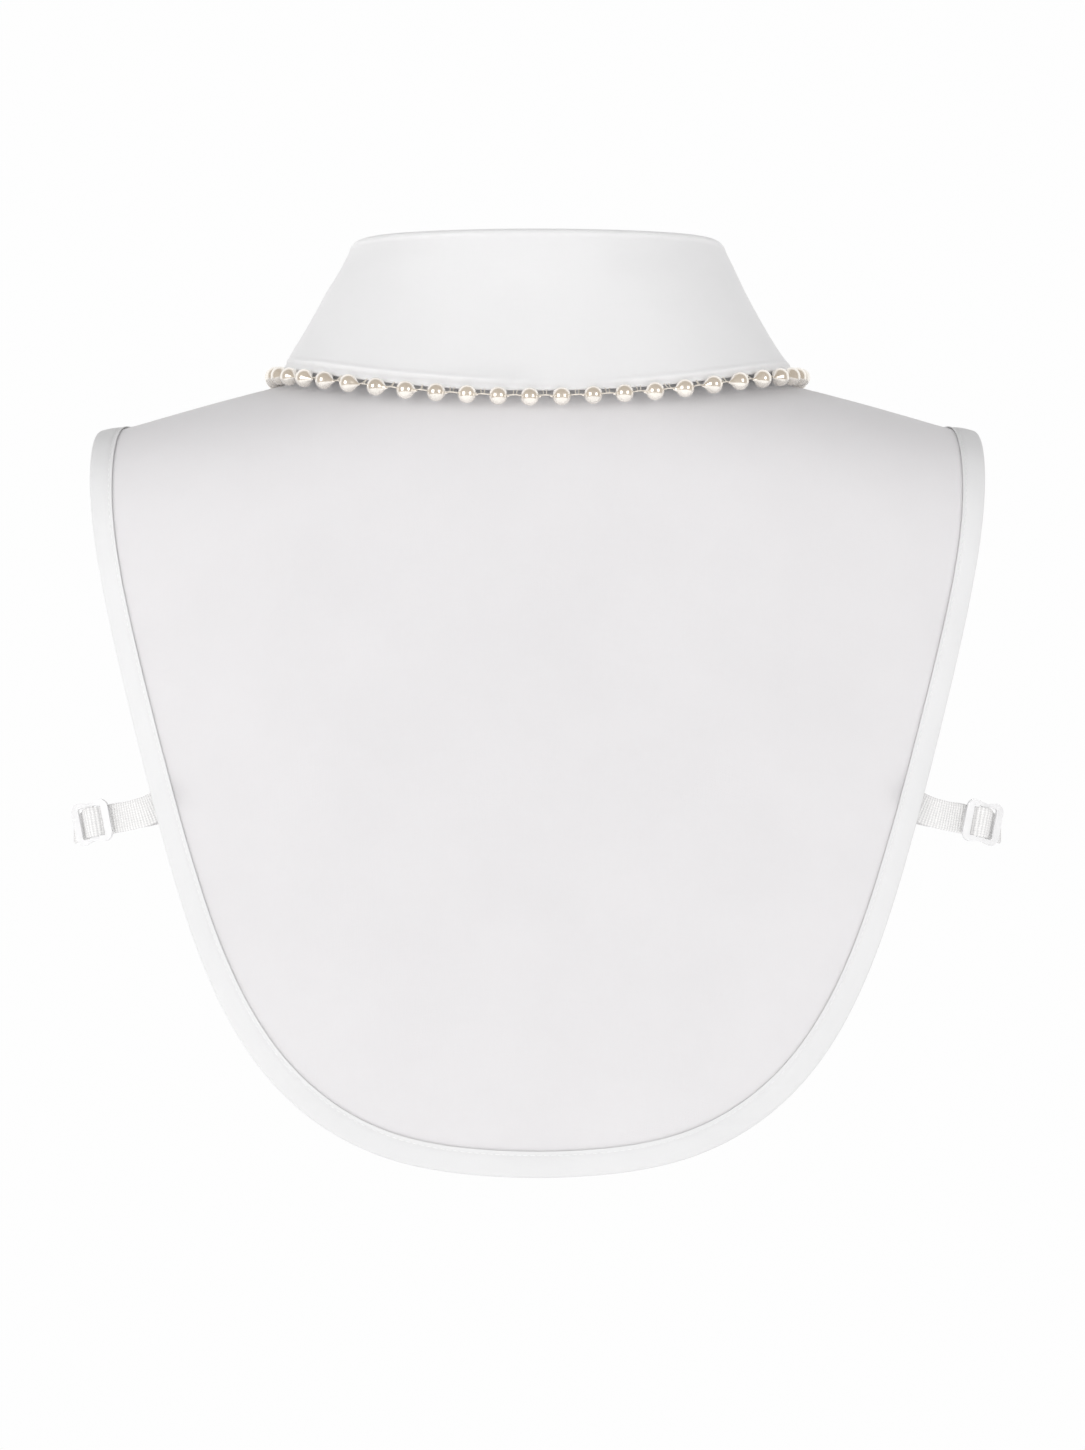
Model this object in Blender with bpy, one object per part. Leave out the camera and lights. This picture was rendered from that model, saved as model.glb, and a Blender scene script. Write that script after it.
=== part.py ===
"""Detachable shirt collar with a pearl edge, worn on a general figure.

Sizes are in millimetres and the meshes in metres. +Z is up, the wearer faces -Y, and +X is the wearer's left.
The origin is the middle of the neck opening, at the height of its two shoulder points.

The body cloth is drawn on a flat domain: x runs across the wearer and w is the way over the shoulder ridge,
positive down the back and negative down the front. figure() lays that domain on the general figure.
"""
import math

import bpy
import numpy as np

MM = 0.001

# Walls and gaps
CLOTH = 1.0
COLLAR_WALL = 1.6
BINDING_WALL = 1.0
SEAM_GAP = 0.3

# Shoulder ridge of the general figure: a hyperbola across the wearer that lifts a little at its tips
RIDGE_TOP = 41.2
RIDGE_SLOPE = 0.36
RIDGE_ROUND = 110.0
TIP_START = 150.0
TIP_LIFT = 0.005

# Sections across the figure: half width of the whole figure and the power of its superellipse
FIGURE_HALF_WIDTH = 200.0
FIGURE_POWER = 2.5

# How each side leaves the ridge, a row for each side. depth is how far it stands out at the middle, drop the
# height of its rounded top, power how square that top is, slope how steeply the chest falls forward at the
# middle, ease the share of that slope lost at the shoulder tip, and tuck how far the hem swings inwards.
#         depth   drop  power  slope  ease  tuck
SIDES = {
    "back":  (96.0, 60.0, 2.7, 0.0, 0.0, 7.0),
    "front": (100.0, 78.0, 2.5, 0.75, 0.5, 6.0),
}
CHEST_ROUND = 15.0
HANG_LENGTH = 200.0

# Outer edge of the binding on the back, a row for each section: half width and height
OUTLINE = [
    (168.6, -48.0),
    (164.9, -79.2),
    (153.4, -131.9),
    (137.7, -191.8),
    (118.9, -244.0),
    (92.6, -281.1),
    (54.5, -303.2),
    (0.0, -309.9),
]
RIDGE_HALF_WIDTH = 166.4
SEAM_WAY = -8.0
FRONT_LENGTH = 0.92

# Grid of the panels
SIDE_CELLS = 16
SHOULDER_CELLS = 6
BACK_NECK_CELLS = 14
FRONT_NECK_CELLS = 7
CORNER_SHARE = 0.655
SKEW = 0.06

# Binding: a strip folded over the raw edge
BINDING_WIDTH = 10.0
BINDING_REACH = SEAM_GAP + BINDING_WALL
RING_SPARE = 0.6

# Neckline in plan, and the closing of the front
NECK_HALF_WIDTH = 65.0
NECK_BACK = 62.0
NECK_FRONT = 66.0
LAP = 10.0
LAP_LIFT_NECK = 2.8
LAP_LIFT_HEM = 4.2
LAP_EASE = 26.0
LAP_RISE_START = 80.0
LAP_RISE_LENGTH = 240.0

# Stand
STAND_TOP_HALF_WIDTH = 67.4
STAND_TOP_BACK = 61.5
STAND_TOP_FRONT = 67.0
STAND_TOP_HEIGHT = 40.8
STAND_FRONT_FALL = 66.0
STAND_FALL_POWER = 4.5
STAND_LIFT_SHARE = 0.72
STAND_ROWS = 3

# Fall
FOLD_RADIUS = 2.2
FOLD_RISE = 1.0
FOLD_CELLS = 4
FALL_ROWS = 6
KNEE_SHARE = 0.65
KNEE_DROP = 0.09
FALL_END_GAP = 3.4
STATION_SPARE = 0.02
FALL_HALF_WIDTH = 97.4
FALL_BACK = 87.0
FALL_BACK_POWER = 3.0
FALL_FRONT = 88.5
FALL_FRONT_POWER = 2.6
POINT_DIRECTION = math.radians(151.0)
FALL_BACK_HEIGHT = -16.8
FALL_SIDE_RISE = 10.9
FALL_RISE_POWER = 2.0
FALL_STAND_OFF = 5.7
FRONT_BLEND = 2.5

# Pearls
PEARL_RADIUS = 3.5
PEARL_PITCH = 11.7
PEARL_OUT = 3.9
PEARL_AHEAD = 3.6
PEARL_BELOW = 2.4
POINT_OUT = 1.25
PEARL_START = 2.8
PEARL_SIDES = 8
THREAD_POINTS = 3000
THREAD_SPAN = 2.0
# Profile of a pearl along the thread, towards the centre back: way from its middle and radius
PEARL_PROFILE = [
    (-3.46, 0.50),
    (-2.10, 2.80),
    (0.00, 3.50),
    (2.00, 2.85),
    (3.30, 1.60),
    (5.40, 0.50),
]

# Strap and slider
STRAP_WIDTH = 11.0
STRAP_WALL = 1.0
STRAP_UNDER = 8.0
STRAP_DEPTH = 2.6
STRAP_HEIGHT = -171.0
STRAP_WAVE = 2.0
STRAP_POINTS = 1001
STRAP_SPAN = 0.8
STRAP_CELLS = (6, 27, 24)
# Route of a strap past the back edge, a row for each point: half width, depth and height
STRAP_ROUTE = [
    (166.9, 66.5, -177.8),
    (172.2, 62.8, -179.3),
    (174.0, 56.5, -180.2),
    (174.6, 40.0, -180.6),
    (175.8, 0.0, -181.0),
    (174.6, -32.0, -180.4),
    (165.6, -58.0, -177.5),
]
STRAP_SIDEWAYS = 2.0
STRAP_PAST_EDGE = 0.5
WAVE_HOLD = 1.0
WAVE_FADE = 10.0
FINE_SPAN = 10.0
SLIDER_LENGTH = 16.5
SLIDER_WIDTH = 17.2
SLIDER_WAIST = 0.9
SLIDER_WALL = 1.2
SLIDER_BAR = 1.3
SLIDER_SLOT_END = 4.8
SLIDER_SLOT_HALF = 5.9
SLIDER_CORNER = 2.6
SLIDER_LOBE_SPAN = 1.15
SLIDER_CORNER_SHARES = np.array([0.0, 0.12, 0.4, 1.0])

# Buttons
BUTTON_RADIUS = 5.0
BUTTON_WALL = 2.2
BUTTON_SIDES = 16
STAND_BUTTON_SHARE = 0.28
FRONT_BUTTON_WAYS = [-110.0, -165.0, -220.0, -275.0]

# Colours and finish, a row for each material: red, green, blue, roughness
MATERIALS = {
    "poplin": (0.80, 0.79, 0.80, 0.85),
    "collar_cloth": (0.85, 0.85, 0.85, 0.82),
    "binding_tape": (0.86, 0.86, 0.86, 0.80),
    "elastic": (0.85, 0.85, 0.84, 0.88),
    "clear_white_plastic": (0.88, 0.88, 0.88, 0.25),
    "pearl": (0.86, 0.80, 0.72, 0.18),
    "button_plastic": (0.87, 0.87, 0.85, 0.30),
}


def unit(vectors):
    """Each vector at length 1."""
    return vectors / np.linalg.norm(vectors, axis=-1, keepdims=True)


def spline(points, count, start=0.0, end=None):
    """count points, evenly spaced along the natural cubic curve through the given ones, and the whole length.

    The knots lie at the summed straight distances. Second derivatives are zero at both ends."""
    points = np.asarray(points, float)
    step = np.linalg.norm(np.diff(points, axis=0), axis=1)
    knots = np.concatenate(([0.0], np.cumsum(step)))
    n = len(points)
    matrix = np.eye(n)
    right = np.zeros_like(points)
    for i in range(1, n - 1):
        matrix[i, i - 1:i + 2] = step[i - 1], 2 * (step[i - 1] + step[i]), step[i]
        right[i] = 6 * ((points[i + 1] - points[i]) / step[i] - (points[i] - points[i - 1]) / step[i - 1])
    bend = np.linalg.solve(matrix, right)

    def at(way):
        i = np.clip(np.searchsorted(knots, way, side="right") - 1, 0, n - 2)
        h = step[i][:, None]
        a = (knots[i + 1] - way)[:, None] / h
        b = 1 - a
        curve = (a**3 - a) * bend[i] + (b**3 - b) * bend[i + 1]
        return a * points[i] + b * points[i + 1] + curve * h * h / 6

    fine_way = np.linspace(0, knots[-1], 1200)
    fine = at(fine_way)
    along = np.concatenate(([0.0], np.cumsum(np.linalg.norm(np.diff(fine, axis=0), axis=1))))
    end = along[-1] if end is None else end
    wanted = np.linspace(start, end, count)
    return at(np.interp(wanted, along, fine_way)), along[-1]


def unit_roll(power):
    """A quarter of a superellipse by its own length: the way along it, its run out and its drop."""
    angle = np.linspace(0, math.pi / 2, 500)
    run = np.sin(angle) ** (2 / power)
    drop = 1 - np.cos(angle) ** (2 / power)
    run[-1] = drop[-1] = 1.0
    way = np.concatenate(([0.0], np.cumsum(np.hypot(np.diff(run), np.diff(drop)))))
    return way, run, drop


ROLLS = {name: unit_roll(row[2]) for name, row in SIDES.items()}


def ridge(x):
    """Height of the shoulder ridge at x."""
    lift = TIP_LIFT * np.maximum(np.abs(x) - TIP_START, 0) ** 2
    return RIDGE_TOP - RIDGE_SLOPE * np.sqrt(x**2 + RIDGE_ROUND**2) + lift


def side_sizes(x, name):
    """Depth, forward slope and reach (length of the rounded top over its unit length) of one side at x."""
    depth, drop, _, slope, ease, _ = SIDES[name]
    depth = depth * (1 - (np.abs(x) / FIGURE_HALF_WIDTH) ** FIGURE_POWER) ** (1 / FIGURE_POWER)
    slope = slope * (1 - ease * (x / RIDGE_HALF_WIDTH) ** 2)
    reach = np.sqrt((depth**2 + (drop + slope * depth) ** 2) / 2)
    return depth, slope, reach


def one_side(x, w, name):
    """Depth y (always positive) and height z of one side, at x and at the way w from the ridge."""
    _, drop, _, _, _, tuck = SIDES[name]
    depth, slope, reach = side_sizes(x, name)
    way, run, fall = ROLLS[name]
    share = w / reach
    y = depth * np.interp(share, way, run)
    forward = slope * (np.sqrt(y**2 + CHEST_ROUND**2) - CHEST_ROUND)
    hang = np.maximum(w - way[-1] * reach, 0)
    z = ridge(x) - drop * np.interp(share, way, fall) - forward - hang
    return y - tuck * (hang / HANG_LENGTH) ** 2, z


def figure(x, w):
    """Points of the general figure for arrays of x and w."""
    x, w = np.broadcast_arrays(np.asarray(x, float), np.asarray(w, float))
    back_y, back_z = one_side(x, np.abs(w), "back")
    front_y, front_z = one_side(x, np.abs(w), "front")
    behind = w >= 0
    return np.stack([x, np.where(behind, back_y, -front_y), np.where(behind, back_z, front_z)], axis=-1)


def figure_normal(x, w):
    """Outward direction of the figure, from small steps across and along."""
    e = 0.4
    across = figure(x + e, w) - figure(x - e, w)
    along = figure(x, w + e) - figure(x, w - e)
    return unit(np.cross(across, along))


def way_to_depth(x, y):
    """The way w at which the figure's rounded top reaches the depth y."""
    name = "back" if y >= 0 else "front"
    depth, _, reach = side_sizes(np.asarray(x, float), name)
    way, run, _ = ROLLS[name]
    return float(np.sign(y) * np.interp(abs(y) / depth, run, way) * reach)


def way_to_height(x, z):
    """The way w down the back at which the figure has the height z."""
    ways = np.linspace(0, 420, 1200)
    heights = one_side(np.full_like(ways, x), ways, "back")[1]
    return float(np.interp(-z, -heights, ways))


def outline():
    """Outer edge of the binding on the back, in the domain: from the left shoulder seam round to the right."""
    rows = [(RIDGE_HALF_WIDTH - 0.6, SEAM_WAY), (RIDGE_HALF_WIDTH, 0.0)]
    rows += [(x, way_to_height(x, z)) for x, z in OUTLINE]
    return np.array(rows + [(-x, w) for x, w in rows[-2::-1]])


def inset(edge, distance):
    """An edge in the domain moved inwards by a real distance on the figure.

    The edge starts at the wearer's left shoulder, where inwards is towards smaller x. The two end points stay on
    the lines that end the panel: the shoulder seam, along w, and the front's edge, along x."""
    tangent = unit(np.gradient(edge, axis=0))
    inward = np.stack([-tangent[:, 1], tangent[:, 0]], axis=-1)
    inward = inward * -np.sign(inward[0, 0])
    real = np.linalg.norm(figure(*(edge + inward).T) - figure(*edge.T), axis=-1)
    moved = edge + inward * (distance / real)[:, None]
    for end in (0, -1):
        still = 1 if abs(edge[end, 1] - SEAM_WAY) < 1 else 0
        moved[end, still] = edge[end, still]
    return moved


def coons(top, bottom, left, right):
    """Grid between four edges of the domain. top and bottom run left to right, left and right run downwards."""
    u = np.linspace(0, 1, len(top))[None, :, None]
    v = np.linspace(0, 1, len(left))[:, None, None]
    rows = (1 - v) * top[None] + v * bottom[None]
    columns = (1 - u) * left[:, None] + u * right[:, None]
    corners = (1 - u) * (1 - v) * top[0] + u * (1 - v) * top[-1] + (1 - u) * v * bottom[0] + u * v * bottom[-1]
    return rows + columns - corners


def neck_plan(angle):
    """Neckline in plan by the angle from the centre back, positive to the wearer's left."""
    deep = NECK_BACK if math.cos(angle) >= 0 else NECK_FRONT
    return NECK_HALF_WIDTH * math.sin(angle), deep * math.cos(angle)


def neck_domain(angle):
    """A point of the neckline in the domain."""
    x, y = neck_plan(angle)
    return x, way_to_depth(x, y)


def seam_angle():
    """Angle at which the neckline meets the shoulder seam."""
    low, high = math.pi / 2, math.pi
    for _ in range(40):
        middle = (low + high) / 2
        if neck_domain(middle)[1] > SEAM_WAY:
            low = middle
        else:
            high = middle
    return low


SEAM_ANGLE = seam_angle()
LAP_ANGLE = math.pi + math.asin(LAP / NECK_HALF_WIDTH)
BACK_ANGLES = np.linspace(SEAM_ANGLE, -SEAM_ANGLE, BACK_NECK_CELLS + 1)
FRONT_ANGLES = np.append(np.linspace(SEAM_ANGLE, math.pi, FRONT_NECK_CELLS + 1), LAP_ANGLE)


def smooth_step(value):
    """0 below 0, 1 above 1, and a smooth rise between."""
    value = np.clip(value, 0, 1)
    return value**2 * (3 - 2 * value)


def lap_lift(x, w):
    """How far the wearer's right front is lifted where it laps over the left one, before x is mirrored."""
    down = np.clip((np.abs(w) - LAP_RISE_START) / LAP_RISE_LENGTH, 0, 1)
    return smooth_step((LAP + LAP_EASE - x) / LAP_EASE) * (LAP_LIFT_NECK + (LAP_LIFT_HEM - LAP_LIFT_NECK) * down)


def join_strip(edge, grid, side):
    """Join the inner grid of a panel and the strip of cells along its outer edge.

    Gives the points, the faces of the grid and the faces of the strip."""
    rows, columns = grid.shape[:2]
    points = np.concatenate([grid.reshape(-1, 2), edge])
    index = np.arange(rows * columns).reshape(rows, columns)
    a, b = index[:-1, :-1], index[:-1, 1:]
    c, d = index[1:, 1:], index[1:, :-1]
    faces = np.stack([a, b, c, d], axis=-1).reshape(-1, 4).tolist()
    border = list(index[:, 0]) if side in ("both", "left") else []
    border += list(index[-1, 1 if border else 0:])
    border += list(index[-2::-1, -1]) if side == "both" else []
    outer = rows * columns + np.arange(len(edge))
    strip = [[border[i], border[i + 1], outer[i + 1], outer[i]] for i in range(len(edge) - 1)]
    return points, faces, strip


def split_skewed(points, faces):
    """Cut each quad that is clearly skewed along its shorter diagonal, so that both halves of a panel match."""
    cut = []
    for face in faces:
        a, b, c, d = face
        first = np.linalg.norm(points[a] - points[c])
        second = np.linalg.norm(points[b] - points[d])
        if min(first, second) > (1 - SKEW) * max(first, second):
            cut.append([a, b, c, d])
        elif first < second:
            cut += [[a, b, c], [a, c, d]]
        else:
            cut += [[a, b, d], [b, c, d]]
    return cut


def wall_mesh(points, normals, faces, thickness):
    """A closed wall of even thickness about a middle surface. Faces are wound so that normals point out."""
    count = len(points)
    shell = np.concatenate([points + normals * thickness / 2, points - normals * thickness / 2])
    edges = set()
    for face in faces:
        for a, b in zip(face, face[1:] + face[:1]):
            edges.add((int(a), int(b)))
    rim = [[b, a, a + count, b + count] for a, b in sorted(edges) if (b, a) not in edges]
    inner = [[int(i) + count for i in reversed(face)] for face in faces]
    return shell, [list(map(int, face)) for face in faces] + inner + rim


def material(name):
    """The Principled material of a kind of piece."""
    found = bpy.data.materials.get(name)
    if found:
        return found
    red, green, blue, roughness = MATERIALS[name]
    made = bpy.data.materials.new(name)
    made.use_nodes = True
    shader = made.node_tree.nodes["Principled BSDF"]
    shader.inputs["Base Color"].default_value = (red, green, blue, 1)
    shader.inputs["Roughness"].default_value = roughness
    shader.inputs["Metallic"].default_value = 0.0
    made.diffuse_color = (red, green, blue, 1)
    return made


def add_object(name, points, faces, material_name, smooth_angle=50.0):
    """A named object from points in millimetres."""
    mesh = bpy.data.meshes.new(name)
    mesh.from_pydata((np.asarray(points) * MM).tolist(), [], faces)
    mesh.validate()
    mesh.materials.append(material(material_name))
    mesh.shade_smooth()
    mesh.set_sharp_from_angle(angle=math.radians(smooth_angle))
    made = bpy.data.objects.new(name, mesh)
    bpy.context.scene.collection.objects.link(made)
    return made


def grid_faces(rows, columns, closed=False):
    """Quads of a grid of points, row by row, and around the columns where it is closed."""
    index = np.arange(rows * columns).reshape(rows, columns)
    if closed:
        index = np.concatenate([index, index[:, :1]], axis=1)
    a, b = index[:-1, :-1], index[:-1, 1:]
    c, d = index[1:, 1:], index[1:, :-1]
    return np.stack([a, b, c, d], axis=-1).reshape(-1, 4).tolist()


def swept(sections, name, material_name, smooth_angle=50.0):
    """A closed solid through rows of points, each row one section, with flat caps."""
    rows, columns = sections.shape[:2]
    faces = grid_faces(rows, columns, closed=True)
    faces.append(list(range(columns))[::-1])
    faces.append(list(range((rows - 1) * columns, rows * columns)))
    points = sections.reshape(-1, 3)
    if enclosed_volume(points, faces) < 0:
        faces = [face[::-1] for face in faces]
    return add_object(name, points, faces, material_name, smooth_angle)


def enclosed_volume(points, faces):
    """Volume of a closed mesh, negative where its faces point in."""
    total = 0.0
    for face in faces:
        first = points[face[0]]
        for second, third in zip(face[1:-1], face[2:]):
            total += np.dot(first, np.cross(points[second], points[third]))
    return total / 6


def edge_stations(name):
    """Panel edge, ring just inside the binding and corner index, for the back or a front, in the domain."""
    curve = outline()
    total = spline(curve, 2)[1]
    corner = total / 2 * CORNER_SHARE
    if name == "back":
        across = BACK_NECK_CELLS + 2 * SHOULDER_CELLS
        parts = [(0, corner, SIDE_CELLS), (corner, total - corner, across), (total - corner, total, SIDE_CELLS)]
    else:
        across = len(FRONT_ANGLES) - 1 + SHOULDER_CELLS
        past = total / 2 + LAP
        parts = [(0, corner, SIDE_CELLS), (corner, past, across)]
    pieces = [spline(curve, cells + 1, start, end)[0] for start, end, cells in parts]
    edge = np.concatenate([pieces[0]] + [piece[1:] for piece in pieces[1:]])
    if name == "front":
        way = edge[:, 1]
        edge[:, 1] = SEAM_WAY - (way - SEAM_WAY) * FRONT_LENGTH
    return inset(edge, BINDING_REACH), inset(edge, BINDING_WIDTH + RING_SPARE)


def back_layout():
    """Grid and strip of the back panel in the domain, with the stations of its edge and ring."""
    panel, ring = edge_stations("back")
    shoulder = np.linspace(ring[0], neck_domain(SEAM_ANGLE), SHOULDER_CELLS + 1)
    neck = np.array([neck_domain(angle) for angle in BACK_ANGLES])
    other = np.linspace(neck[-1], ring[-1], SHOULDER_CELLS + 1)
    top = np.concatenate([shoulder[:-1], neck, other[1:]])
    left = ring[:SIDE_CELLS + 1]
    right = ring[::-1][:SIDE_CELLS + 1]
    bottom = ring[SIDE_CELLS:len(ring) - SIDE_CELLS]
    grid = coons(top, bottom, left, right)
    return join_strip(panel, grid, "both"), panel, ring


def front_layout():
    """Grid and strip of the wearer's left front in the domain, with the stations of its edge and ring."""
    panel, ring = edge_stations("front")
    shoulder = np.linspace(ring[0], neck_domain(SEAM_ANGLE), SHOULDER_CELLS + 1)
    neck = np.array([neck_domain(angle) for angle in FRONT_ANGLES])
    top = np.concatenate([shoulder[:-1], neck])
    left = ring[:SIDE_CELLS + 1]
    bottom = ring[SIDE_CELLS:]
    right = np.linspace(top[-1], bottom[-1], SIDE_CELLS + 1)
    grid = coons(top, bottom, left, right)
    return join_strip(panel, grid, "left"), panel, ring


def seam_shift(points, name):
    """Part the two sides of the shoulder seam by the seam gap: each steps back by half of it."""
    moved = points.copy()
    on_seam = np.abs(points[:, 1] - SEAM_WAY) < 1e-6
    moved[on_seam, 1] += SEAM_GAP / 2 * (1 if name == "back" else -1)
    return moved


def lay(points, lifted=False):
    """Real points and normals of domain points, lifted for the front that laps over."""
    x, w = points.T
    place, normal = figure(x, w), figure_normal(x, w)
    if lifted:
        place = place + normal * lap_lift(x, w)[:, None]
    return place, normal


MIRROR = np.array([-1.0, 1.0, 1.0])


def panel_object(name, layout, side, lifted=False, mirrored=False):
    """One panel of the body cloth."""
    domain, faces, strip = layout[0]
    place, normal = lay(seam_shift(domain, side), lifted)
    shell, quads = wall_mesh(place, normal, split_skewed(place, faces) + strip, CLOTH)
    if mirrored:
        shell = shell * MIRROR
    if enclosed_volume(shell, quads) < 0:
        quads = [face[::-1] for face in quads]
    return add_object(name, shell, quads, "poplin")


# Section of the binding: way in from the raw edge (negative past it) and height over the panel's middle
BINDING_SECTION = [
    (BINDING_WIDTH - BINDING_REACH, CLOTH / 2 + SEAM_GAP + BINDING_WALL),
    (0.0, CLOTH / 2 + SEAM_GAP + BINDING_WALL),
    (-BINDING_REACH, BINDING_WALL * 0.7),
    (-BINDING_REACH, -BINDING_WALL * 0.7),
    (0.0, -CLOTH / 2 - SEAM_GAP - BINDING_WALL),
    (BINDING_WIDTH - BINDING_REACH, -CLOTH / 2 - SEAM_GAP - BINDING_WALL),
    (BINDING_WIDTH - BINDING_REACH, -CLOTH / 2 - SEAM_GAP),
    (-SEAM_GAP, -CLOTH / 2 - SEAM_GAP),
    (-SEAM_GAP, CLOTH / 2 + SEAM_GAP),
    (BINDING_WIDTH - BINDING_REACH, CLOTH / 2 + SEAM_GAP),
]


def binding_object(name, layout, side, lifted=False, mirrored=False):
    """The folded strip over one panel's outer edge, on the panel's own lines from edge to ring."""
    panel, ring = (seam_shift(edge, side) for edge in layout[1:])
    edge_place, edge_normal = lay(panel, lifted)
    ring_place, ring_normal = lay(ring, lifted)
    inward = ring_place - edge_place
    reach = np.linalg.norm(inward, axis=1, keepdims=True)
    inward = inward / reach
    sections = []
    for way, height in BINDING_SECTION:
        share = np.clip(way / reach, 0, 1)
        normal = unit((1 - share) * edge_normal + share * ring_normal)
        sections.append(edge_place + inward * way + normal * height)
    sections = np.stack(sections, axis=1)
    if mirrored:
        sections = sections * MIRROR
    return swept(sections, name, "binding_tape", 40.0)


def stand_lift(angle):
    """Lift of the wearer's right end of the stand, and of the neck edge under it."""
    x, _ = neck_plan(angle)
    return float(lap_lift(-x, 0.0)) if angle < -math.pi / 2 else 0.0


def stand_angles():
    """Stations of the stand from the wearer's left end over the back to the right end, on the panels' own."""
    left = FRONT_ANGLES[::-1]
    right = -FRONT_ANGLES
    return np.concatenate([left[:-1], BACK_ANGLES, right[1:]])


def top_plan(angle, widen=0.0):
    """Top of the stand in plan, with its outward direction."""
    deep = STAND_TOP_BACK if math.cos(angle) >= 0 else STAND_TOP_FRONT
    x, y = STAND_TOP_HALF_WIDTH * math.sin(angle), deep * math.cos(angle)
    out = unit(np.array([x / STAND_TOP_HALF_WIDTH**2, y / deep**2, 0.0]))
    return np.array([x, y, 0.0]) + out * widen, out


def stand_top(angle):
    """A point on the middle of the stand's top edge, and the outward direction there."""
    place, out = top_plan(angle, stand_lift(angle) * STAND_LIFT_SHARE)
    share = (1 - math.cos(angle)) / 2
    place[2] = STAND_TOP_HEIGHT - STAND_FRONT_FALL * share**STAND_FALL_POWER
    return place, out


def stand_foot(angle):
    """A point on the middle of the stand's lower edge, just over the neck edge of the panels."""
    domain = np.array([neck_domain(angle)])
    place, normal = lay(domain)
    lift = stand_lift(angle)
    place, normal = place[0] + normal[0] * lift, normal[0]
    place[2] += normal[2] * CLOTH / 2 + SEAM_GAP
    return place


def stand_object():
    """The stand: a band from the neckline up to the fold, its right end lapped over the left."""
    angles = stand_angles()
    rows = []
    for share in np.linspace(0, 1, STAND_ROWS + 1):
        row = [(1 - share) * stand_foot(a) + share * stand_top(a)[0] for a in angles]
        rows.append(row)
    grid = np.array(rows)
    normals = np.array([stand_top(a)[1] for a in angles])
    normals = np.broadcast_to(normals, grid.shape)
    points, normals = grid.reshape(-1, 3), normals.reshape(-1, 3)
    shell, quads = wall_mesh(points, normals, grid_faces(*grid.shape[:2]), COLLAR_WALL)
    if enclosed_volume(shell, quads) < 0:
        quads = [face[::-1] for face in quads]
    return add_object("collar_stand", shell, quads, "collar_cloth")


def superellipse(direction, half_width, deep, power):
    """A point of a superellipse in plan at a direction from the centre back."""
    s, c = abs(math.sin(direction)), abs(math.cos(direction))
    radius = ((s / half_width) ** power + (c / deep) ** power) ** (-1 / power)
    return radius * math.sin(direction), radius * math.cos(direction)


def fall_angle_end():
    """Angle of the fall's front end on the stand's top."""
    return math.pi - math.asin(FALL_END_GAP / STAND_TOP_HALF_WIDTH)


def fall_edge(angle):
    """A point on the fall's lower edge, for the station at this angle of the fold."""
    half = math.pi / 2
    turn = abs(angle)
    if turn > half:
        share = (turn - half) / (fall_angle_end() - half)
        direction = half + share * (POINT_DIRECTION - half)
        x, y = superellipse(direction, FALL_HALF_WIDTH, FALL_FRONT, FALL_FRONT_POWER)
    else:
        share = 0.0
        x, y = superellipse(turn, FALL_HALF_WIDTH, FALL_BACK, FALL_BACK_POWER)
    level = FALL_BACK_HEIGHT + FALL_SIDE_RISE * (x / FALL_HALF_WIDTH) ** FALL_RISE_POWER
    domain = np.array([(x, way_to_depth(x, y))])
    place, normal = lay(domain)
    rest_height = place[0][2] + FALL_STAND_OFF / normal[0][2]
    blend = float(smooth_step(share * FRONT_BLEND))
    z = (1 - blend) * level + blend * rest_height
    return np.array([math.copysign(x, angle) if x else 0.0, y, z])


def fall_stations():
    """Angles of the fall's columns, with the stand's top and outward direction there, on the stand's own lines."""
    angles = stand_angles()
    end = fall_angle_end()
    inside = angles[np.abs(angles) < end - STATION_SPARE]
    wanted = np.concatenate([[end], inside, [-end]])
    tops, outs = (np.array(rows) for rows in zip(*(stand_top(angle) for angle in angles)))
    place = np.stack([np.interp(-wanted, -angles, tops[:, k]) for k in range(3)], axis=-1)
    out = np.stack([np.interp(-wanted, -angles, outs[:, k]) for k in range(3)], axis=-1)
    return wanted, place, unit(out)


def fall_grid():
    """Middle surface of the fall: rows from its seam on the stand over the fold to the edge."""
    up = np.array([0.0, 0.0, 1.0])
    columns = []
    for angle, top, out in zip(*fall_stations()):
        column = [top + up * SEAM_GAP]
        for turn in np.linspace(0, math.pi, FOLD_CELLS + 1):
            run = FOLD_RADIUS * (1 - math.cos(turn))
            rise = SEAM_GAP + FOLD_RISE + FOLD_RADIUS * math.sin(turn)
            column.append(top + out * run + up * rise)
        start, edge = column[-1], fall_edge(angle)
        knee = start + KNEE_SHARE * (edge - start) - up * KNEE_DROP * np.linalg.norm(edge - start)
        for t in np.linspace(0, 1, FALL_ROWS + 1)[1:]:
            column.append((1 - t) ** 2 * start + 2 * t * (1 - t) * knee + t**2 * edge)
        columns.append(column)
    return np.array(columns).transpose(1, 0, 2)


def grid_normals(grid):
    """Outward directions of a grid whose rows run down and columns run from the wearer's left to the right."""
    down = np.gradient(grid, axis=0)
    along = np.gradient(grid, axis=1)
    return unit(np.cross(along, down))


def fall_object(grid):
    """The turned-down collar."""
    normals = grid_normals(grid)
    points, normals = grid.reshape(-1, 3), normals.reshape(-1, 3)
    shell, quads = wall_mesh(points, normals, grid_faces(*grid.shape[:2]), COLLAR_WALL)
    if enclosed_volume(shell, quads) < 0:
        quads = [face[::-1] for face in quads]
    return add_object("collar_fall", shell, quads, "collar_cloth")


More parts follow.
